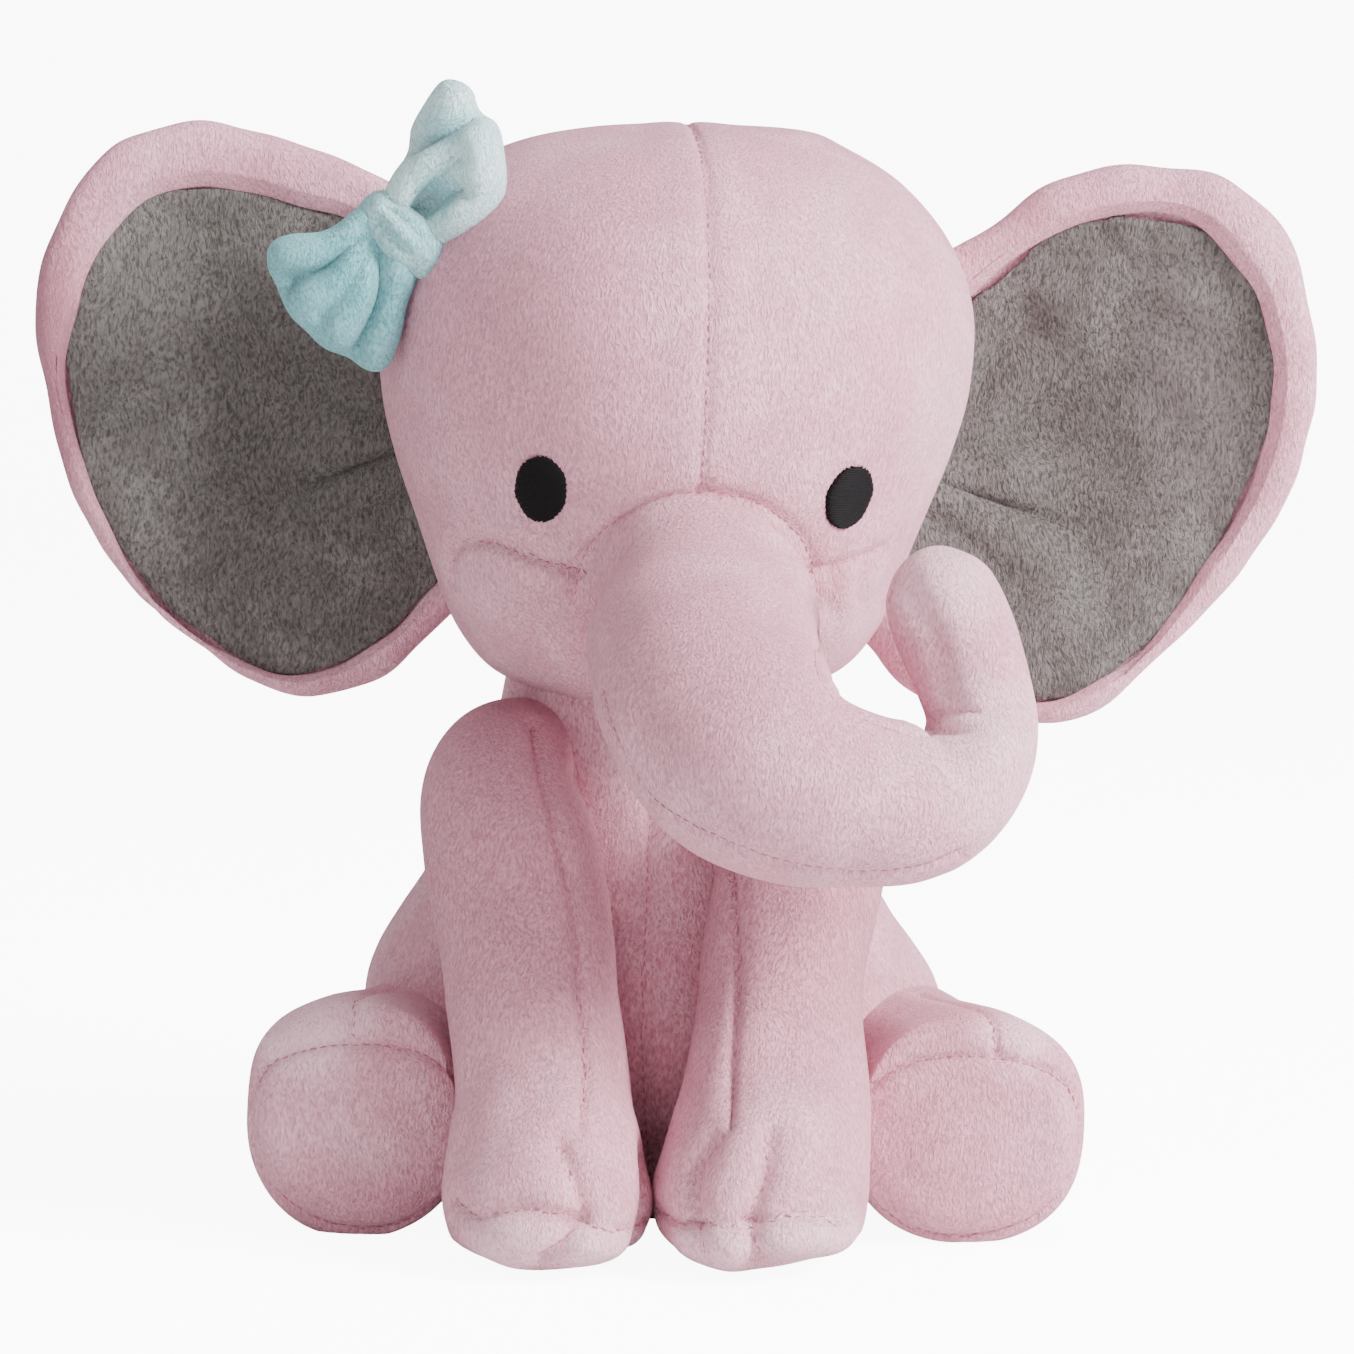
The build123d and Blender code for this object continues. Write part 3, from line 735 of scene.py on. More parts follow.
# ------------------------------------------------------------------ eyes, satin-stitched
def satin_eye(name, centre, half_width, half_height, lean):
    """Side-by-side threads over a padded oval, on the head's surface."""
    tree = surface_tree(head)
    strands, steps, around = 34, 15, 6
    verts, faces = [], []
    ring = np.linspace(0, 2 * np.pi, around, endpoint=False)
    tilt = math.radians(lean)
    stitch_slant = math.radians(24)
    radius = 2 * half_height / strands * 0.66
    for strand in range(strands):
        level = -1 + 2 * (strand + 0.5) / strands
        reach = math.sqrt(1 - level**2)
        jitter = 0.02 * math.sin(strand * 12.9898) + 0.015 * math.sin(strand * 4.1414)
        start = len(verts)
        for step in range(steps):
            share = -1 + 2 * step / (steps - 1)
            u = half_width * (reach + jitter) * share
            v = half_height * level + u * math.tan(stitch_slant) * 0.35
            x = centre[0] + u * math.cos(tilt) + v * math.sin(tilt)
            z = centre[1] - u * math.sin(tilt) + v * math.cos(tilt)
            hit, normal = tree.ray_cast(Vector((x * MM, -0.4, z * MM)), Vector((0, 1, 0)))[:2]
            pad = 0.95 * max(1 - (0.9 * share * reach) ** 2 - (0.75 * level) ** 2, 0) ** 0.5
            spot = np.array(hit) / MM + np.array(normal) * (pad + 0.12 - 0.5 * abs(share) ** 6)
            for angle in ring:
                up = np.array((math.sin(tilt), 0, math.cos(tilt)))
                verts.append(spot + radius * (math.cos(angle) * up + 0.7 * math.sin(angle) * np.array(normal)))
        faces += ring_faces(steps, around, start)
        faces.append(tuple(start + j for j in range(around))[::-1])
        faces.append(tuple(start + (steps - 1) * around + j for j in range(around)))
    return build_piece(name, np.array(verts), faces, BLACK_THREAD)


EYES = {
    "eye_right": ((-25.8, 162.3), 5.6, 6.9, -14),
    "eye_left": ((39.4, 160.0), 4.9, 6.9, 12),
}
eyes = {name: satin_eye(name + "_satin", *spec) for name, spec in EYES.items()}

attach(head, "head")
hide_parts("head_panel_left", "head_panel_right", "head_fill")
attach(head_stitches, "head")
for name, eye in eyes.items():
    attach(eye, "head")
    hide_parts(name)


# ------------------------------------------------------------------ trunk
# Stations down the trunk: x, y, z, half depth, half width across the curl.
TRUNK_STATIONS = [
    (6.0, -26.0, 141.5, 19.5, 24.5),
    (6.6, -42.0, 139.8, 19.6, 24.3),
    (7.8, -60.0, 135.4, 20.2, 24.6),
    (9.0, -76.0, 127.4, 21.0, 24.2),
    (12.2, -87.0, 118.6, 21.3, 24.2),
    (18.6, -94.5, 110.8, 20.5, 23.3),
    (28.2, -98.5, 105.3, 19.0, 21.1),
    (39.8, -99.5, 103.0, 17.5, 17.8),
    (50.5, -99.0, 101.8, 16.0, 15.6),
    (58.8, -97.0, 103.9, 14.5, 13.2),
    (64.2, -94.0, 109.6, 13.0, 11.2),
    (66.0, -90.5, 116.8, 12.2, 10.6),
    (64.9, -87.0, 124.5, 12.0, 10.8),
    (62.0, -83.5, 132.2, 12.0, 11.7),
    (58.8, -80.5, 140.5, 11.5, 11.6),
    (56.4, -78.5, 147.5, 10.5, 10.2),
    (55.2, -77.5, 151.8, 9.8, 9.4),
]
TRUNK_ALONG, TRUNK_AROUND = 300, 200
CURL_NORMAL = (0.0, 1.0, 0.25)

trunk_rings = sleeve_rings(TRUNK_STATIONS, CURL_NORMAL, TRUNK_ALONG, TRUNK_AROUND, 3.0, 9.0)
trunk = capped_rings("trunk_skin", trunk_rings, PINK)
uneven(trunk, 34, 0.3, 8)


def along_rings(rings, start, end, turn_start, turn_end, count):
    """A line on a sleeve from one share of its length and turn to another."""
    shares = np.linspace(start, end, count) * (len(rings) - 1)
    turns = np.linspace(turn_start, turn_end, count) * rings.shape[1]
    return np.array([rings[int(round(i)), int(round(j)) % rings.shape[1]] for i, j in zip(shares, turns)])


trunk_outer_seam = np.vstack([
    front_line(
        trunk, [(-12.6, 124.0), (-10.8, 117.7), (-6.4, 108.8), (-0.7, 102.2), (11.5, 96.4), (23.7, 92.2), (35.2, 89.9),
                (44.0, 89.6), (52.2, 90.8), (60.3, 93.8)], 110
    ),
    nearest_line(
        trunk, [(60.3, -104, 93.0), (67.0, -100, 96.0), (74.0, -96, 104.0), (77.5, -92, 114.0), (76.5, -87, 124.0),
                (73.5, -84, 134.0), (69.0, -80, 143.0), (63.0, -78, 150.0)], 60
    )[2:],
])
trunk_inner_seam = nearest_line(trunk, along_rings(trunk_rings, 0.10, 0.97, 0.20, 0.31, 60), 160)
press(trunk, trunk_outer_seam, 0.8, 1.0, 0.3, 4.0)
press(trunk, trunk_inner_seam, 0.8, 1.0, 0.3, 4.0)
for fold in (
    [(53.5, 119.0), (60.3, 121.0), (67.1, 121.4), (71.2, 121.8)],
    [(55.5, 117.0), (63.7, 117.6), (69.2, 117.2)],
):
    press(trunk, front_line(trunk, fold, 24), 1.6, 1.7, 0.7, 4.0, fade=8)
tip_hollow = front_line(trunk, [(49.5, 146.0), (53.5, 139.0), (56.5, 132.0), (57.5, 124.0)], 30)
press(trunk, tip_hollow, 1.1, 3.6, 0.5, 7.0)
# Painted shade on the face of the tip that lies in shadow.
paint_nap_and_light(trunk, (50, -90, 127), (6, 12, 12), -0.4)
paint_nap_and_light(trunk, (56, -90, 149), (14, 16, 14), 0.9)
# Painted shade on the trunk's right side, away from the key light.
paint_nap_and_light(trunk, (-8, -78, 132), (12, 30, 22), -0.5)
# Painted light on the key-lit bend of the trunk.
paint_nap_and_light(trunk, (66, -98, 108), (22, 22, 18), 0.7)
paint_nap_and_light(trunk, (10, -96, 130), (18, 24, 20), -0.7)
trunk_stitches = stitched("trunk_seam_stitches", [
    nearest_line(trunk, trunk_outer_seam, 200), nearest_line(trunk, trunk_inner_seam, 200),
], PINK_THREAD, pitch=2.3, length=1.5, radius=0.16)

for piece in (trunk, trunk_stitches):
    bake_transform(piece)
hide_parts("trunk_top_panel", "trunk_under_panel", "trunk_fill")


# ------------------------------------------------------------------ torso
# Rows up the torso: height, centre x, centre y, half width, half depth.
TORSO_ROWS = [
    (0.3, -1, 12, 1, 1),
    (0.3, -1, 12, 30, 30),
    (1.6, -1, 12, 47, 46),
    (8.0, -1, 12, 57, 54),
    (20.0, -1, 12, 62.5, 57),
    (36.0, -2, 12, 64.5, 57),
    (46.0, -3, 12, 63.5, 55),
    (54.0, -4, 11, 60.0, 52),
    (62.0, -4.5, 11, 55.0, 49),
    (72.0, -4, 10, 49.5, 45),
    (82.0, -3, 9, 45.0, 42),
    (92.0, -2, 9, 41.5, 39),
    (105.0, 0, 8, 37.5, 36),
    (118.0, 0, 8, 34, 33),
    (130.0, 1, 9, 30, 30),
    (141.0, 2, 10, 20, 20),
    (145.0, 2, 10, 1, 1),
]
TORSO_ALONG, TORSO_AROUND = 200, 260


def torso_rings():
    rows = np.array(TORSO_ROWS, float)
    table = np.stack([rows[:, 3], rows[:, 0], np.zeros(len(rows)), rows[:, 1], rows[:, 2], rows[:, 4]], axis=1)
    path = smooth_path(table, TORSO_ALONG)
    turn = np.linspace(0, 2 * np.pi, TORSO_AROUND, endpoint=False)
    x = path[:, 3][:, None] + path[:, 0][:, None] * np.cos(turn)
    y = path[:, 4][:, None] + path[:, 5][:, None] * np.sin(turn)
    z = np.repeat(path[:, 1][:, None], TORSO_AROUND, axis=1)
    return np.stack([x, y, z], axis=2)


torso = capped_rings("torso_skin", torso_rings(), PINK)
uneven(torso, 40, 0.4, 5)
belly_seam = nearest_line(torso, [(-1, -30, 118), (-3, -36, 90), (-4.5, -44, 60), (-4.5, -46, 35), (-3, -44, 12)], 90)
back_seam = nearest_line(torso, [(1, 44, 122), (0, 50, 90), (0, 64, 60), (0, 70, 30), (0, 66, 8)], 90)
press(torso, belly_seam, 1.0, 1.1, 0.5, 5.0)
press(torso, back_seam, 1.0, 1.1, 0.5, 5.0)
rest_on_floor(torso)
torso_stitches = stitched("torso_seam_stitches", [
    nearest_line(torso, belly_seam, 120), nearest_line(torso, back_seam, 120),
], PINK_THREAD, pitch=2.3, length=1.5, radius=0.16)
for piece in (torso, torso_stitches):
    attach(piece, "torso")
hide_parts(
    "belly_panel_left", "belly_panel_right", "back_panel_left", "back_panel_right", "seat_panel", "torso_fill"
)


# ------------------------------------------------------------------ front legs
FRONT_LEGS = {
    "right": [
        (-27.0, -2.0, 97.0, 13.0, 13.0),
        (-31.0, -12.0, 98.5, 14.5, 14.0),
        (-34.8, -21.5, 97.3, 15.8, 15.2),
        (-35.6, -29.5, 92.0, 17.0, 17.0),
        (-33.2, -37.0, 83.1, 18.9, 19.0),
        (-30.8, -41.0, 72.8, 19.4, 19.3),
        (-29.0, -46.0, 62.8, 18.8, 18.8),
        (-28.0, -50.0, 52.7, 18.2, 18.4),
        (-26.6, -54.0, 42.6, 18.3, 18.8),
        (-25.6, -58.0, 32.6, 19.0, 20.5),
        (-25.6, -62.0, 24.0, 20.5, 23.5),
        (-25.2, -65.0, 15.5, 21.5, 26.5),
        (-24.0, -66.0, 7.5, 20.6, 26.6),
        (-23.4, -66.0, 0.4, 16.4, 22.0),
    ],
    "left": [
        (27.0, -2.0, 96.0, 13.0, 13.0),
        (30.5, -12.0, 97.5, 14.0, 14.0),
        (33.2, -21.5, 96.3, 15.2, 15.2),
        (33.0, -29.5, 91.0, 16.4, 17.0),
        (30.5, -37.0, 83.1, 17.6, 18.5),
        (28.0, -41.0, 72.8, 17.8, 18.5),
        (26.0, -46.0, 62.8, 17.7, 18.2),
        (25.3, -50.0, 52.7, 17.8, 18.2),
        (24.6, -54.0, 42.6, 18.8, 18.8),
        (23.6, -58.0, 32.6, 20.1, 20.5),
        (22.4, -62.0, 24.0, 21.6, 23.5),
        (21.2, -65.0, 15.5, 22.6, 26.5),
        (20.4, -66.0, 7.5, 21.6, 26.6),
        (20.4, -66.0, 0.4, 17.6, 22.4),
    ],
}
TOE_CREASES = {
    "right": (
        [(-21.4, 28.6), (-18.4, 22.0), (-16.6, 15.9), (-19.0, 13.0), (-20.8, 9.5), (-25.0, 5.6)],
        [(-5.3, 25.6), (-4.7, 17.7), (-5.6, 11.6), (-7.1, 7.4), (-10.1, 4.3)],
    ),
    "left": (
        [(10.4, 28.4), (7.7, 24.7), (7.1, 19.7), (7.4, 12.9), (8.4, 7.0)],
        [(22.0, 30.3), (21.4, 24.7), (19.6, 18.5), (18.4, 14.1), (18.7, 10.4), (19.8, 6.5)],
    ),
}
SOLE_SEAMS = {
    "right": [(-44.0, 15.5), (-39.3, 13.5), (-33.3, 15.4), (-27.9, 16.5), (-19.0, 14.4), (-7.1, 10.4), (-2.8, 10.6)],
    "left": [(-1.6, 11.8), (2.5, 12.1), (8.3, 13.0), (15.3, 13.5), (20.8, 14.4), (26.9, 15.4), (33.0, 14.4), (37.3, 11.6)],
}
# Rounded toes under the sole seam: centre, reach and how far each stands proud.
TOES = {
    "right": (((-31.5, -88, 9.0), (9, 9, 6.0), 2.0), ((-14.2, -91, 7.6), (7, 9, 5.5), 2.2), ((-4.4, -86, 5.4), (5, 9, 5.0), 2.0)),
    "left": (((28.4, -90, 10.6), (8, 9, 4.6), 2.4), ((8.5, -91, 7.4), (9, 9, 5.5), 1.8), ((37.0, -84, 7.0), (5, 9, 6.0), 1.2)),
}
FRONT_SEAMS = {
    "right": [(-28.5, 109.0), (-26.2, 100.0), (-23.0, 89.5), (-19.0, 73.0), (-17.8, 59.0), (-16.2, 42.0), (-17.5, 31.0)],
    "left": [(14.5, 92.0), (14.4, 84.0), (15.8, 63.0), (15.2, 52.0), (14.4, 40.0), (14.6, 31.0)],
}
FRONT_LEG_ALONG, FRONT_LEG_AROUND = 230, 180

for side, stations in FRONT_LEGS.items():
    sign = 1 if side == "left" else -1
    rings = sleeve_rings(stations, (1, 0, 0), FRONT_LEG_ALONG, FRONT_LEG_AROUND, 9.0, 8.0, 2.1)
    leg = capped_rings(f"front_leg_{side}_skin", rings, PINK)
    rest_on_floor(leg)
    uneven(leg, 30, 0.35, 11 + sign)
    seam = front_line(leg, FRONT_SEAMS[side], 90)
    press(leg, seam, 1.2, 1.1, 0.5, 4.0)
    for centre, reach, height in TOES[side]:
        bulge(leg, centre, reach, height, facing=(0, -1, 0))
        paint_nap_and_light(leg, centre, [1.15 * r for r in reach], 0.8)
    # Painted shade: the upper leg darkened where the head and trunk shadow it.
    paint_nap_and_light(leg, (sign * 32, -44, 76), (30, 34, 42), -2.4 if side == "left" else -2.0)
    creases = [front_line(leg, crease, 40) for crease in TOE_CREASES[side]]
    for crease in creases:
        press(leg, crease, 1.9, 2.0, 0.9, 5.0)
    sole_seam = front_line(leg, SOLE_SEAMS[side], 90)
    press(leg, sole_seam, 1.3, 1.3, 0.7, 4.0)
    back = nearest_line(leg, [(sign * 30, -8, 98), (sign * 27, -26, 60), (sign * 25, -38, 30), (sign * 24, -40, 10)], 60)
    press(leg, back, 0.8, 1.0, 0.3, 4.0)
    rest_on_floor(leg)
    stitches = stitched(f"front_leg_{side}_stitches", [
        nearest_line(leg, line, 80) for line in (seam, sole_seam, back, *creases)
    ], PINK_THREAD, pitch=2.3, length=1.5, radius=0.16)
    for piece in (leg, stitches):
        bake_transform(piece)
    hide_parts(*[f"front_leg_{side}_{part}" for part in ("outer", "inner", "sole", "fill")])


# ------------------------------------------------------------------ hind legs
HIND_LEGS = {
    "right": [
        (-34.0, 34.0, 24.0, 17.0, 20.0),
        (-40.0, 24.0, 24.8, 23.0, 23.5),
        (-48.0, 6.0, 25.2, 24.0, 24.0),
        (-56.0, -12.0, 25.2, 23.0, 24.0),
        (-62.5, -28.0, 25.4, 22.6, 24.6),
        (-66.8, -41.0, 25.6, 23.0, 25.4),
        (-68.0, -50.0, 25.4, 21.6, 24.4),
    ],
    "left": [
        (34.0, 34.0, 24.0, 17.0, 20.0),
        (40.0, 24.0, 24.6, 23.0, 23.0),
        (47.0, 6.0, 24.6, 24.0, 23.5),
        (54.0, -14.0, 24.4, 22.6, 23.4),
        (60.5, -33.0, 24.4, 22.8, 24.0),
        (65.5, -49.0, 24.8, 24.2, 24.8),
        (66.6, -59.0, 24.6, 22.8, 23.8),
    ],
}
HIND_TOP_SEAMS = {
    "right": [(-66.2, -50.0, 44.0), (-66.4, -44.0, 50.0), (-64.0, -30.0, 51.0), (-58.0, -12.0, 50.0)],
    "left": [(70.8, -58.0, 42.0), (69.6, -52.0, 48.5), (65.0, -38.0, 50.0), (56.0, -14.0, 49.0)],
}
HIND_ALONG, HIND_AROUND = 190, 220

for side, stations in HIND_LEGS.items():
    sign = 1 if side == "left" else -1
    rings = sleeve_rings(stations, (1, 0, 0), HIND_ALONG, HIND_AROUND, 14.0, 9.0, 2.3)
    leg = capped_rings(f"hind_leg_{side}_skin", rings, PINK)
    rest_on_floor(leg)
    uneven(leg, 30, 0.45, 21 + sign)
    end = stations[-1]
    turn = np.linspace(0, 2 * np.pi, 120)
    wobble = 0.6 * np.sin(3 * turn + sign)
    ring_points = [
        (
            end[0] + (26.0 + w) * math.cos(t),
            end[1] - 1.0 + 8.0 * math.cos(t) ** 2 + (0.0 if math.sin(t) > 0 else 4.0 * math.sin(t) ** 2),
            end[2] + (18.4 + w if math.sin(t) > 0 else 26.0) * math.sin(t),
        )
        for t, w in zip(turn, wobble)
    ]
    sole_ring = nearest_line(leg, ring_points, 160)
    press(leg, sole_ring, 1.1, 1.0, 0.9, 4.5)
    top_seam = nearest_line(leg, HIND_TOP_SEAMS[side], 60)
    press(leg, top_seam, 0.9, 1.0, 0.6, 4.0)
    paint_nap_and_light(leg, (end[0] + 10, end[1] + 6, 50), (10, 14, 8), 0.9 if side == "left" else 0.2)
    paint_nap_and_light(leg, (end[0] - 10, end[1] + 6, 50), (15, 20, 13), 1.6 if side == "right" else -0.3)
    # Painted shade along the bottom of the foot by the floor.
    paint_nap_and_light(leg, (end[0], end[1], 6), (22, 16, 9), -0.35)
    # Painted shade darkens the left sole; the right sole is made slightly lighter.
    paint_nap_and_light(leg, (end[0], end[1] - 12, 25), (24, 12, 20), -1.8 if side == "left" else 0.25)
    rest_on_floor(leg)
    stitches = stitched(f"hind_leg_{side}_stitches", [
        nearest_line(leg, line, 140) for line in (sole_ring, top_seam)
    ], PINK_THREAD, pitch=2.3, length=1.5, radius=0.16)
    for piece in (leg, stitches):
        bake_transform(piece)
    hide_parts(*[f"hind_leg_{side}_{part}" for part in ("outer", "inner", "sole", "fill")])


# ------------------------------------------------------------------ ears
# Outlines as (x, z), from the top of each root round to its foot and back inside the head.
EAR_RIMS = {
    "right": [
        (-57.8, 222.9), (-68.7, 228.4), (-81.8, 232.8), (-92.7, 236.0), (-103.6, 237.1), (-114.5, 234.9),
        (-121.1, 231.7), (-127.8, 224.0), (-132.3, 216.4), (-136.4, 205.4), (-137.4, 194.5), (-136.1, 176.9),
        (-129.7, 157.0), (-122.2, 141.5), (-111.3, 128.2), (-96.0, 117.1), (-82.7, 111.1), (-73.9, 111.1),
        (-62.8, 114.8), (-53.9, 121.5), (-47.2, 129.3), (-38.0, 140.0), (-37.0, 175.0), (-42.0, 205.0),
    ],
    "left": [
        (66.0, 212.0), (78.0, 219.7), (91.1, 226.2), (104.2, 228.6), (117.4, 228.0), (126.2, 224.0),
        (135.0, 214.2), (139.6, 203.3), (143.1, 187.9), (142.6, 172.5), (138.0, 157.0), (129.3, 141.5),
        (118.4, 128.2), (105.3, 114.8), (96.5, 108.1), (84.4, 104.4), (71.1, 104.8), (58.9, 110.4),
        (47.3, 119.3), (39.0, 132.0), (38.0, 165.0), (44.0, 195.0),
    ],
}
EAR_LININGS = {
    "right": [
        (-60.0, 212.0), (-73.0, 217.6), (-90.5, 221.9), (-103.6, 223.0), (-116.7, 218.7), (-125.6, 205.6),
        (-130.7, 188.0), (-129.3, 172.6), (-125.1, 157.2), (-117.6, 141.7), (-108.9, 130.6), (-98.0, 121.8),
        (-84.8, 116.2), (-73.7, 117.8), (-62.6, 124.0), (-53.8, 132.9), (-45.0, 142.0), (-38.0, 160.0), (-44.0, 195.0),
    ],
    "left": [
        (60.0, 192.0), (70.4, 201.2), (82.4, 211.0), (95.4, 216.5), (108.6, 217.1), (119.5, 213.2),
        (127.3, 204.5), (132.5, 190.2), (133.1, 174.8), (128.9, 159.4), (120.3, 141.7), (107.3, 124.0),
        (96.3, 115.1), (85.3, 110.6), (73.0, 112.5), (61.0, 121.0), (52.0, 133.0), (42.0, 150.0), (48.0, 175.0),
    ],
}
EAR_CENTRES = {"right": (-86.0, 174.0), "left": (90.0, 166.0)}
EAR_AROUND = 360
EAR_BODY_Y = 4.0


def polar_reach(outline, middle, angles):
    """How far a closed outline lies from a point inside it at each angle."""
    closed = smooth_path([(x, z, 0.0) for x, z in outline + outline[:1]], 720)
    dx, dz = closed[:, 0] - middle[0], closed[:, 1] - middle[1]
    turn = np.arctan2(dz, dx)
    order = np.argsort(turn)
    return np.interp(angles, turn[order], np.hypot(dx, dz)[order], period=2 * np.pi)


EAR_ANGLES = np.linspace(-np.pi, np.pi, EAR_AROUND, endpoint=False)
RIM_REACH = {side: polar_reach(rim, EAR_CENTRES[side], EAR_ANGLES) for side, rim in EAR_RIMS.items()}
LINING_REACH = {
    side: np.minimum(polar_reach(edge, EAR_CENTRES[side], EAR_ANGLES), RIM_REACH[side] - 3.5)
    for side, edge in EAR_LININGS.items()
}


def ear_cup(side, x, z):
    """How far back the ear's middle plane lies: cupped, with the outer edge brought forward."""
    sign = 1 if side == "left" else -1
    middle_x, middle_z = EAR_CENTRES[side]
    across = sign * (x - middle_x) / 50.0
    up = (z - middle_z) / 62.0
    hollow = 10.5 * np.exp(-((across + 0.1) ** 2 + up**2) * 1.9)
    wave = 1.6 * np.sin(3.1 * up + 1.9 * across + sign)
    return hollow - 4.5 * across * np.abs(across) + wave


def ear_points(side, reach, front):
    """Points of an ear at a distance from its middle plane, positive to the front."""
    x = EAR_CENTRES[side][0] + reach * np.cos(EAR_ANGLES)
    z = EAR_CENTRES[side][1] + reach * np.sin(EAR_ANGLES)
    return np.stack([x, EAR_BODY_Y + ear_cup(side, x, z) - front, z], axis=1)


def ear_back_rings(side):
    rings = []
    for share in np.linspace(0.02, 1, 46):
        rings.append(ear_points(side, LINING_REACH[side] * share, np.full(EAR_AROUND, 1.8)))
    for share in np.linspace(0.02, 0.999, 40):
        height = 5.4 * (1 - share**2.6) ** 0.5 * (0.52 + 0.48 * min(1.0, share / 0.28) ** 0.8)
        rings.append(ear_points(side, LINING_REACH[side] + (RIM_REACH[side] - LINING_REACH[side]) * share, np.full(EAR_AROUND, height)))
    for share in np.linspace(0.999, 0.02, 60):
        depth = -6.2 * (1 - share**6) ** 0.5
        rings.append(ear_points(side, RIM_REACH[side] * share, np.full(EAR_AROUND, depth)))
    return np.array(rings)


def ear_lining_rings(side):
    rings = []
    for share in np.linspace(0.02, 1, 70):
        front = 3.6 - 0.9 * max(0.0, (share - 0.93) / 0.07) ** 2
        rings.append(ear_points(side, (LINING_REACH[side] + 0.4) * share, np.full(EAR_AROUND, front)))
    for share in np.linspace(1, 0.02, 30):
        rings.append(ear_points(side, (LINING_REACH[side] + 0.2) * share, np.full(EAR_AROUND, 2.0)))
    return np.array(rings)


# Gathers that fan out from each ear's root, as (x, z) lines: the first is a stitched dart.
EAR_FOLDS = {
    "right": (
        [(-55.0, 167.0), (-65.0, 163.0), (-78.0, 158.5), (-86.0, 156.0)], [(-53.0, 158.0), (-63.0, 151.0), (-73.0, 142.0)],
        [(-56.0, 173.0), (-68.0, 175.0), (-80.0, 181.0)], [(-58.0, 183.0), (-66.0, 193.0), (-72.0, 205.0)],
    ),
    "left": (
        [(59.0, 158.6), (72.4, 154.2), (85.7, 149.7), (92.1, 147.1)], [(58.0, 151.0), (68.0, 144.0), (77.0, 134.0)],
        [(62.0, 164.0), (74.0, 166.5), (86.0, 172.0)], [(64.0, 173.0), (72.0, 183.0), (78.0, 196.0)],
    ),
}

for side in ("left", "right"):
    sign = 1 if side == "left" else -1
    back = capped_rings(f"ear_{side}_back_skin", ear_back_rings(side), PINK)
    lining = capped_rings(f"ear_{side}_lining_skin", ear_lining_rings(side), GREY)
    for piece in (back, lining):
        uneven(piece, 30, 0.6, 31 + sign)
    uneven(back, 17, 0.3, 35 + sign)
    uneven(lining, 16, 0.3, 37 + sign)
    folds = [front_line(lining, fold, 40) for fold in EAR_FOLDS[side]]
    for index, line in enumerate(folds):
        for piece in (lining, back):
            press(piece, line, 1.7 - 0.3 * index, 1.3 if index == 0 else 2.8, 0.9, 6.0, fade=14)
    middle_x, middle_z = EAR_CENTRES[side]
    # Painted shade in the ear's hollow.
    paint_nap_and_light(lining, (middle_x - sign * 4, 14, middle_z), (24, 40, 30), -0.4)
    paint_nap_and_light(lining, (middle_x + sign * 26, 4, middle_z + 8), (12, 40, 34), 0.5)
    # Painted shade on the right ear's outer rim, turned away from the key light.
    if side == "right":
        paint_nap_and_light(back, (-136, 0, 186), (10, 20, 36), -4.0)
    stitches = stitched(
        f"ear_{side}_stitches", [nearest_line(lining, folds[0], 50)], GREY_THREAD, pitch=2.3, length=1.5, radius=0.18
    )
    for piece, slot in ((back, "pink_plush"), (lining, "grey_plush"), (stitches, "grey_plush")):
        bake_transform(piece)
    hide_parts(f"ear_{side}_back", f"ear_{side}_batting")
    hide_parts(f"ear_{side}_lining")


# ------------------------------------------------------------------ bow
BOW_LOOPS = {
    "upper": [
        (-50.5, 212.5), (-58.0, 219.5), (-54.8, 228.5), (-52.8, 236.5), (-49.8, 243.8), (-46.2, 247.3),
        (-41.3, 244.8), (-37.1, 238.8), (-34.0, 229.4), (-34.3, 223.0), (-37.6, 217.6), (-43.0, 214.0),
    ],
    "lower": [
        (-60.5, 220.0), (-67.2, 216.4), (-72.5, 215.0), (-79.6, 214.4), (-83.9, 211.5), (-81.6, 202.7),
        (-75.4, 195.2), (-68.4, 189.2), (-61.0, 186.2), (-57.2, 192.0), (-56.0, 200.6), (-53.0, 210.0),
    ],
}
BOW_CENTRES = {"upper": (-45.0, 229.0), "lower": (-68.0, 204.5)}
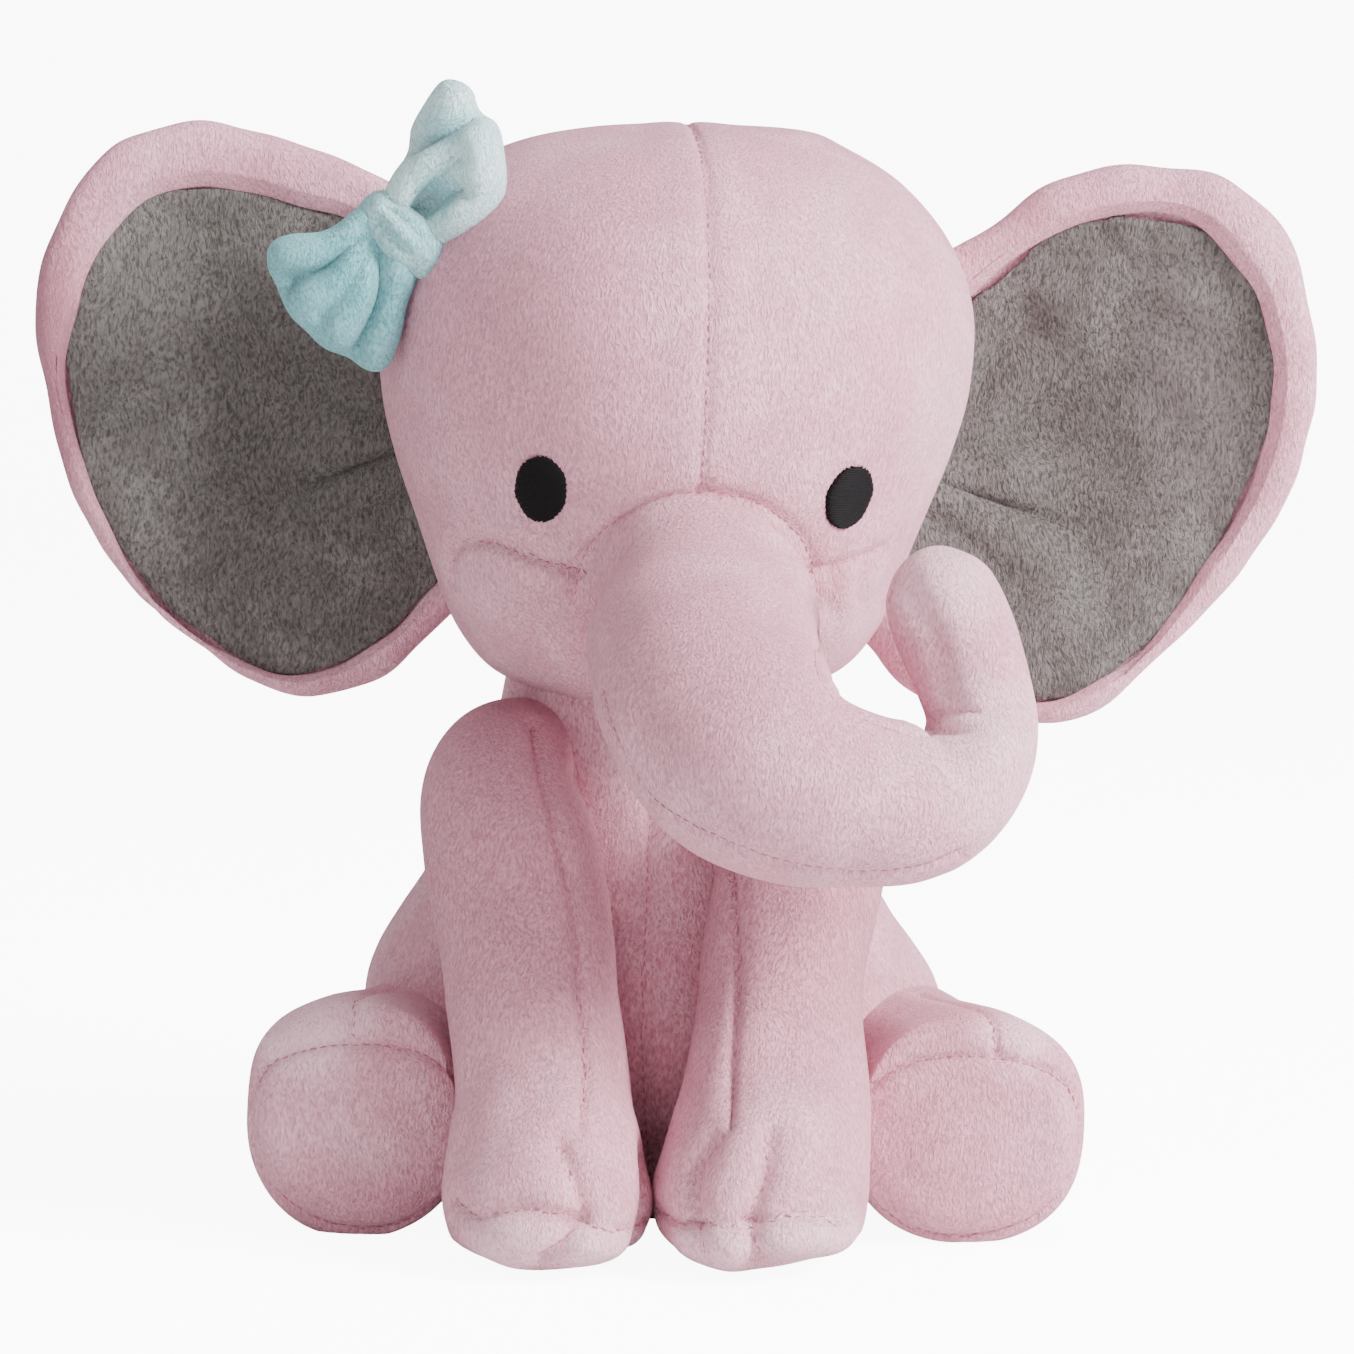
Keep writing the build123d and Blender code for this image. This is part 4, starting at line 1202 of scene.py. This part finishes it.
# Folds that run out from the knot: (x, z) points, depth and width.
BOW_FOLDS = {
    "upper": (
        ([(-38.5, 242.0), (-44.5, 237.0), (-53.5, 232.4)], 3.2, 2.0),
        ([(-43.0, 224.5), (-48.5, 221.5), (-54.4, 218.7)], 3.6, 2.2),
        ([(-44.5, 231.0), (-48.0, 226.5), (-50.5, 222.0)], 2.4, 3.6),
    ),
    "lower": (
        ([(-62.0, 216.8), (-71.0, 208.6), (-80.5, 204.4)], 3.4, 2.3),
        ([(-60.0, 211.0), (-61.0, 201.5), (-66.5, 189.5)], 3.4, 2.0),
        ([(-61.5, 214.0), (-67.0, 204.5), (-73.0, 197.5)], 1.0, 2.4),
    ),
}
BOW_AROUND = 240
bow_pieces = []
for which, outline in BOW_LOOPS.items():
    middle_x, middle_z = BOW_CENTRES[which]
    angles = np.linspace(-np.pi, np.pi, BOW_AROUND, endpoint=False)
    reach = polar_reach(outline, BOW_CENTRES[which], angles)
    rings = []
    for share in list(np.linspace(0.05, 0.999, 60)) + list(np.linspace(0.999, 0.05, 40)):
        front = len(rings) < 60
        x = middle_x + reach * share * np.cos(angles)
        z = middle_z + reach * share * np.sin(angles)
        lean = -26.5 - (0.42 if which == "upper" else 0.0) * np.maximum(x + 52.0, 0)
        depth = (5.6 if front else 4.2) * (1 - share**4) ** 0.5
        rings.append(np.stack([x, lean - depth if front else lean + depth, z], axis=1))
    loop = capped_rings(f"bow_loop_{which}_skin", np.array(rings), MINT)
    uneven(loop, 15, 0.4, 41 + len(which))
    for fold, depth, width in BOW_FOLDS[which]:
        line = front_line(loop, fold, 30)
        press(loop, line, depth, width, 1.3, 4.4)
        # Painted shade in each fold.
        paint_nap_and_light(loop, line.mean(0), (6, 6, 6), -0.8)
    # Painted light on the upper loop, which faces the key light, and painted shade on the lower loop.
    paint_nap_and_light(loop, (middle_x, -30, middle_z), (26, 30, 26), 1.0 if which == "upper" else -1.4)
    bow_pieces.append(loop)

knot_rings = sleeve_rings(
    [(-62.0, -22.0, 220.5, 4.4, 3.8), (-59.6, -28.0, 218.6, 5.0, 4.4), (-55.2, -30.8, 214.8, 5.4, 4.6),
     (-51.4, -29.2, 210.8, 5.2, 4.4), (-49.4, -23.5, 208.6, 4.6, 3.8)],
    (0.68, -0.1, 0.72), 80, 100, 4.0, 4.0, 2.4,
)
knot = capped_rings("bow_knot_skin", knot_rings, MINT)
uneven(knot, 9, 0.3, 47)
for fold in ([(-60.5, 217.5), (-56.8, 213.4), (-52.8, 209.5)], [(-58.0, 220.5), (-53.8, 217.0), (-49.5, 212.5)]):
    press(knot, front_line(knot, fold, 24), 1.0, 1.3, 0.4, 3.0, fade=5)
bow_pieces.append(knot)
for piece in bow_pieces:
    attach(piece, "head")
    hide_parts("bow_knot" if piece is knot else "bow_loops")


# ------------------------------------------------------------------ tail and care label
tail = capped_rings("tail_tube_skin", sleeve_rings(
    [(0, 62.0, 38.0, 5.0, 5.0), (0, 68.0, 36.0, 5.0, 5.0), (0, 75.0, 30.0, 4.9, 4.9), (0, 81.5, 22.0, 4.7, 4.7),
     (0, 87.0, 14.5, 4.6, 4.6)], (1, 0, 0), 90, 60, 3.0, 3.0), PINK)
tuft = capped_rings("tail_tuft_skin", sleeve_rings(
    [(0, 84.5, 17.5, 4.6, 4.6), (0, 87.0, 14.0, 6.2, 6.2), (0, 90.5, 9.5, 5.8, 5.8), (0, 93.0, 5.5, 3.5, 3.5)],
    (1, 0, 0), 60, 60, 3.0, 4.0), PINK)
uneven(tail, 12, 0.25, 51)
uneven(tuft, 6, 0.5, 52)
for piece, node in ((tail, "tail_tube"), (tuft, "tail_tuft")):
    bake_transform(piece)
    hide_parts(node)


def make_label():
    """A folded ribbon tab that stands out of the seat seam and droops a little."""
    low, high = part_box("care_label")
    middle = (np.array(low) + np.array(high)) / 2 / MM
    out = unit(np.array((middle[0], middle[1] - 12.0, 0.0)))
    along = np.array((-out[1], out[0], 0.0))
    half_width, reach, steps, across = 6.5, 11.0, 24, 14
    top, bottom = [], []
    for i in range(steps):
        share = i / (steps - 1)
        droop = -2.2 * share**2
        for j in range(across):
            side_share = 2 * j / (across - 1) - 1
            wave = 0.35 * math.sin(side_share * 3.0 + share * 2.0)
            spot = middle + out * (reach * (share - 0.55)) + along * half_width * side_share
            spot = spot + np.array((0, 0, droop + wave * share))
            top.append(spot + (0, 0, 0.3))
            bottom.append(spot - (0, 0, 0.3))
    verts = np.array(top + bottom)
    count = steps * across
    faces = []
    for i in range(steps - 1):
        for j in range(across - 1):
            a, b = i * across + j, i * across + j + 1
            c, d = a + across, b + across
            faces.append((a, c, d, b))
            faces.append((count + a, count + b, count + d, count + c))
    edge = [j for j in range(across)] + [i * across + across - 1 for i in range(1, steps)]
    edge += [(steps - 1) * across + j for j in range(across - 2, -1, -1)] + [i * across for i in range(steps - 2, 0, -1)]
    for k, a in enumerate(edge):
        b = edge[(k + 1) % len(edge)]
        faces.append((a, b, count + b, count + a))
    label = build_piece("care_label_ribbon", verts, faces, SATIN)
    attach(label, "torso")
    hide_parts("care_label")


make_label()
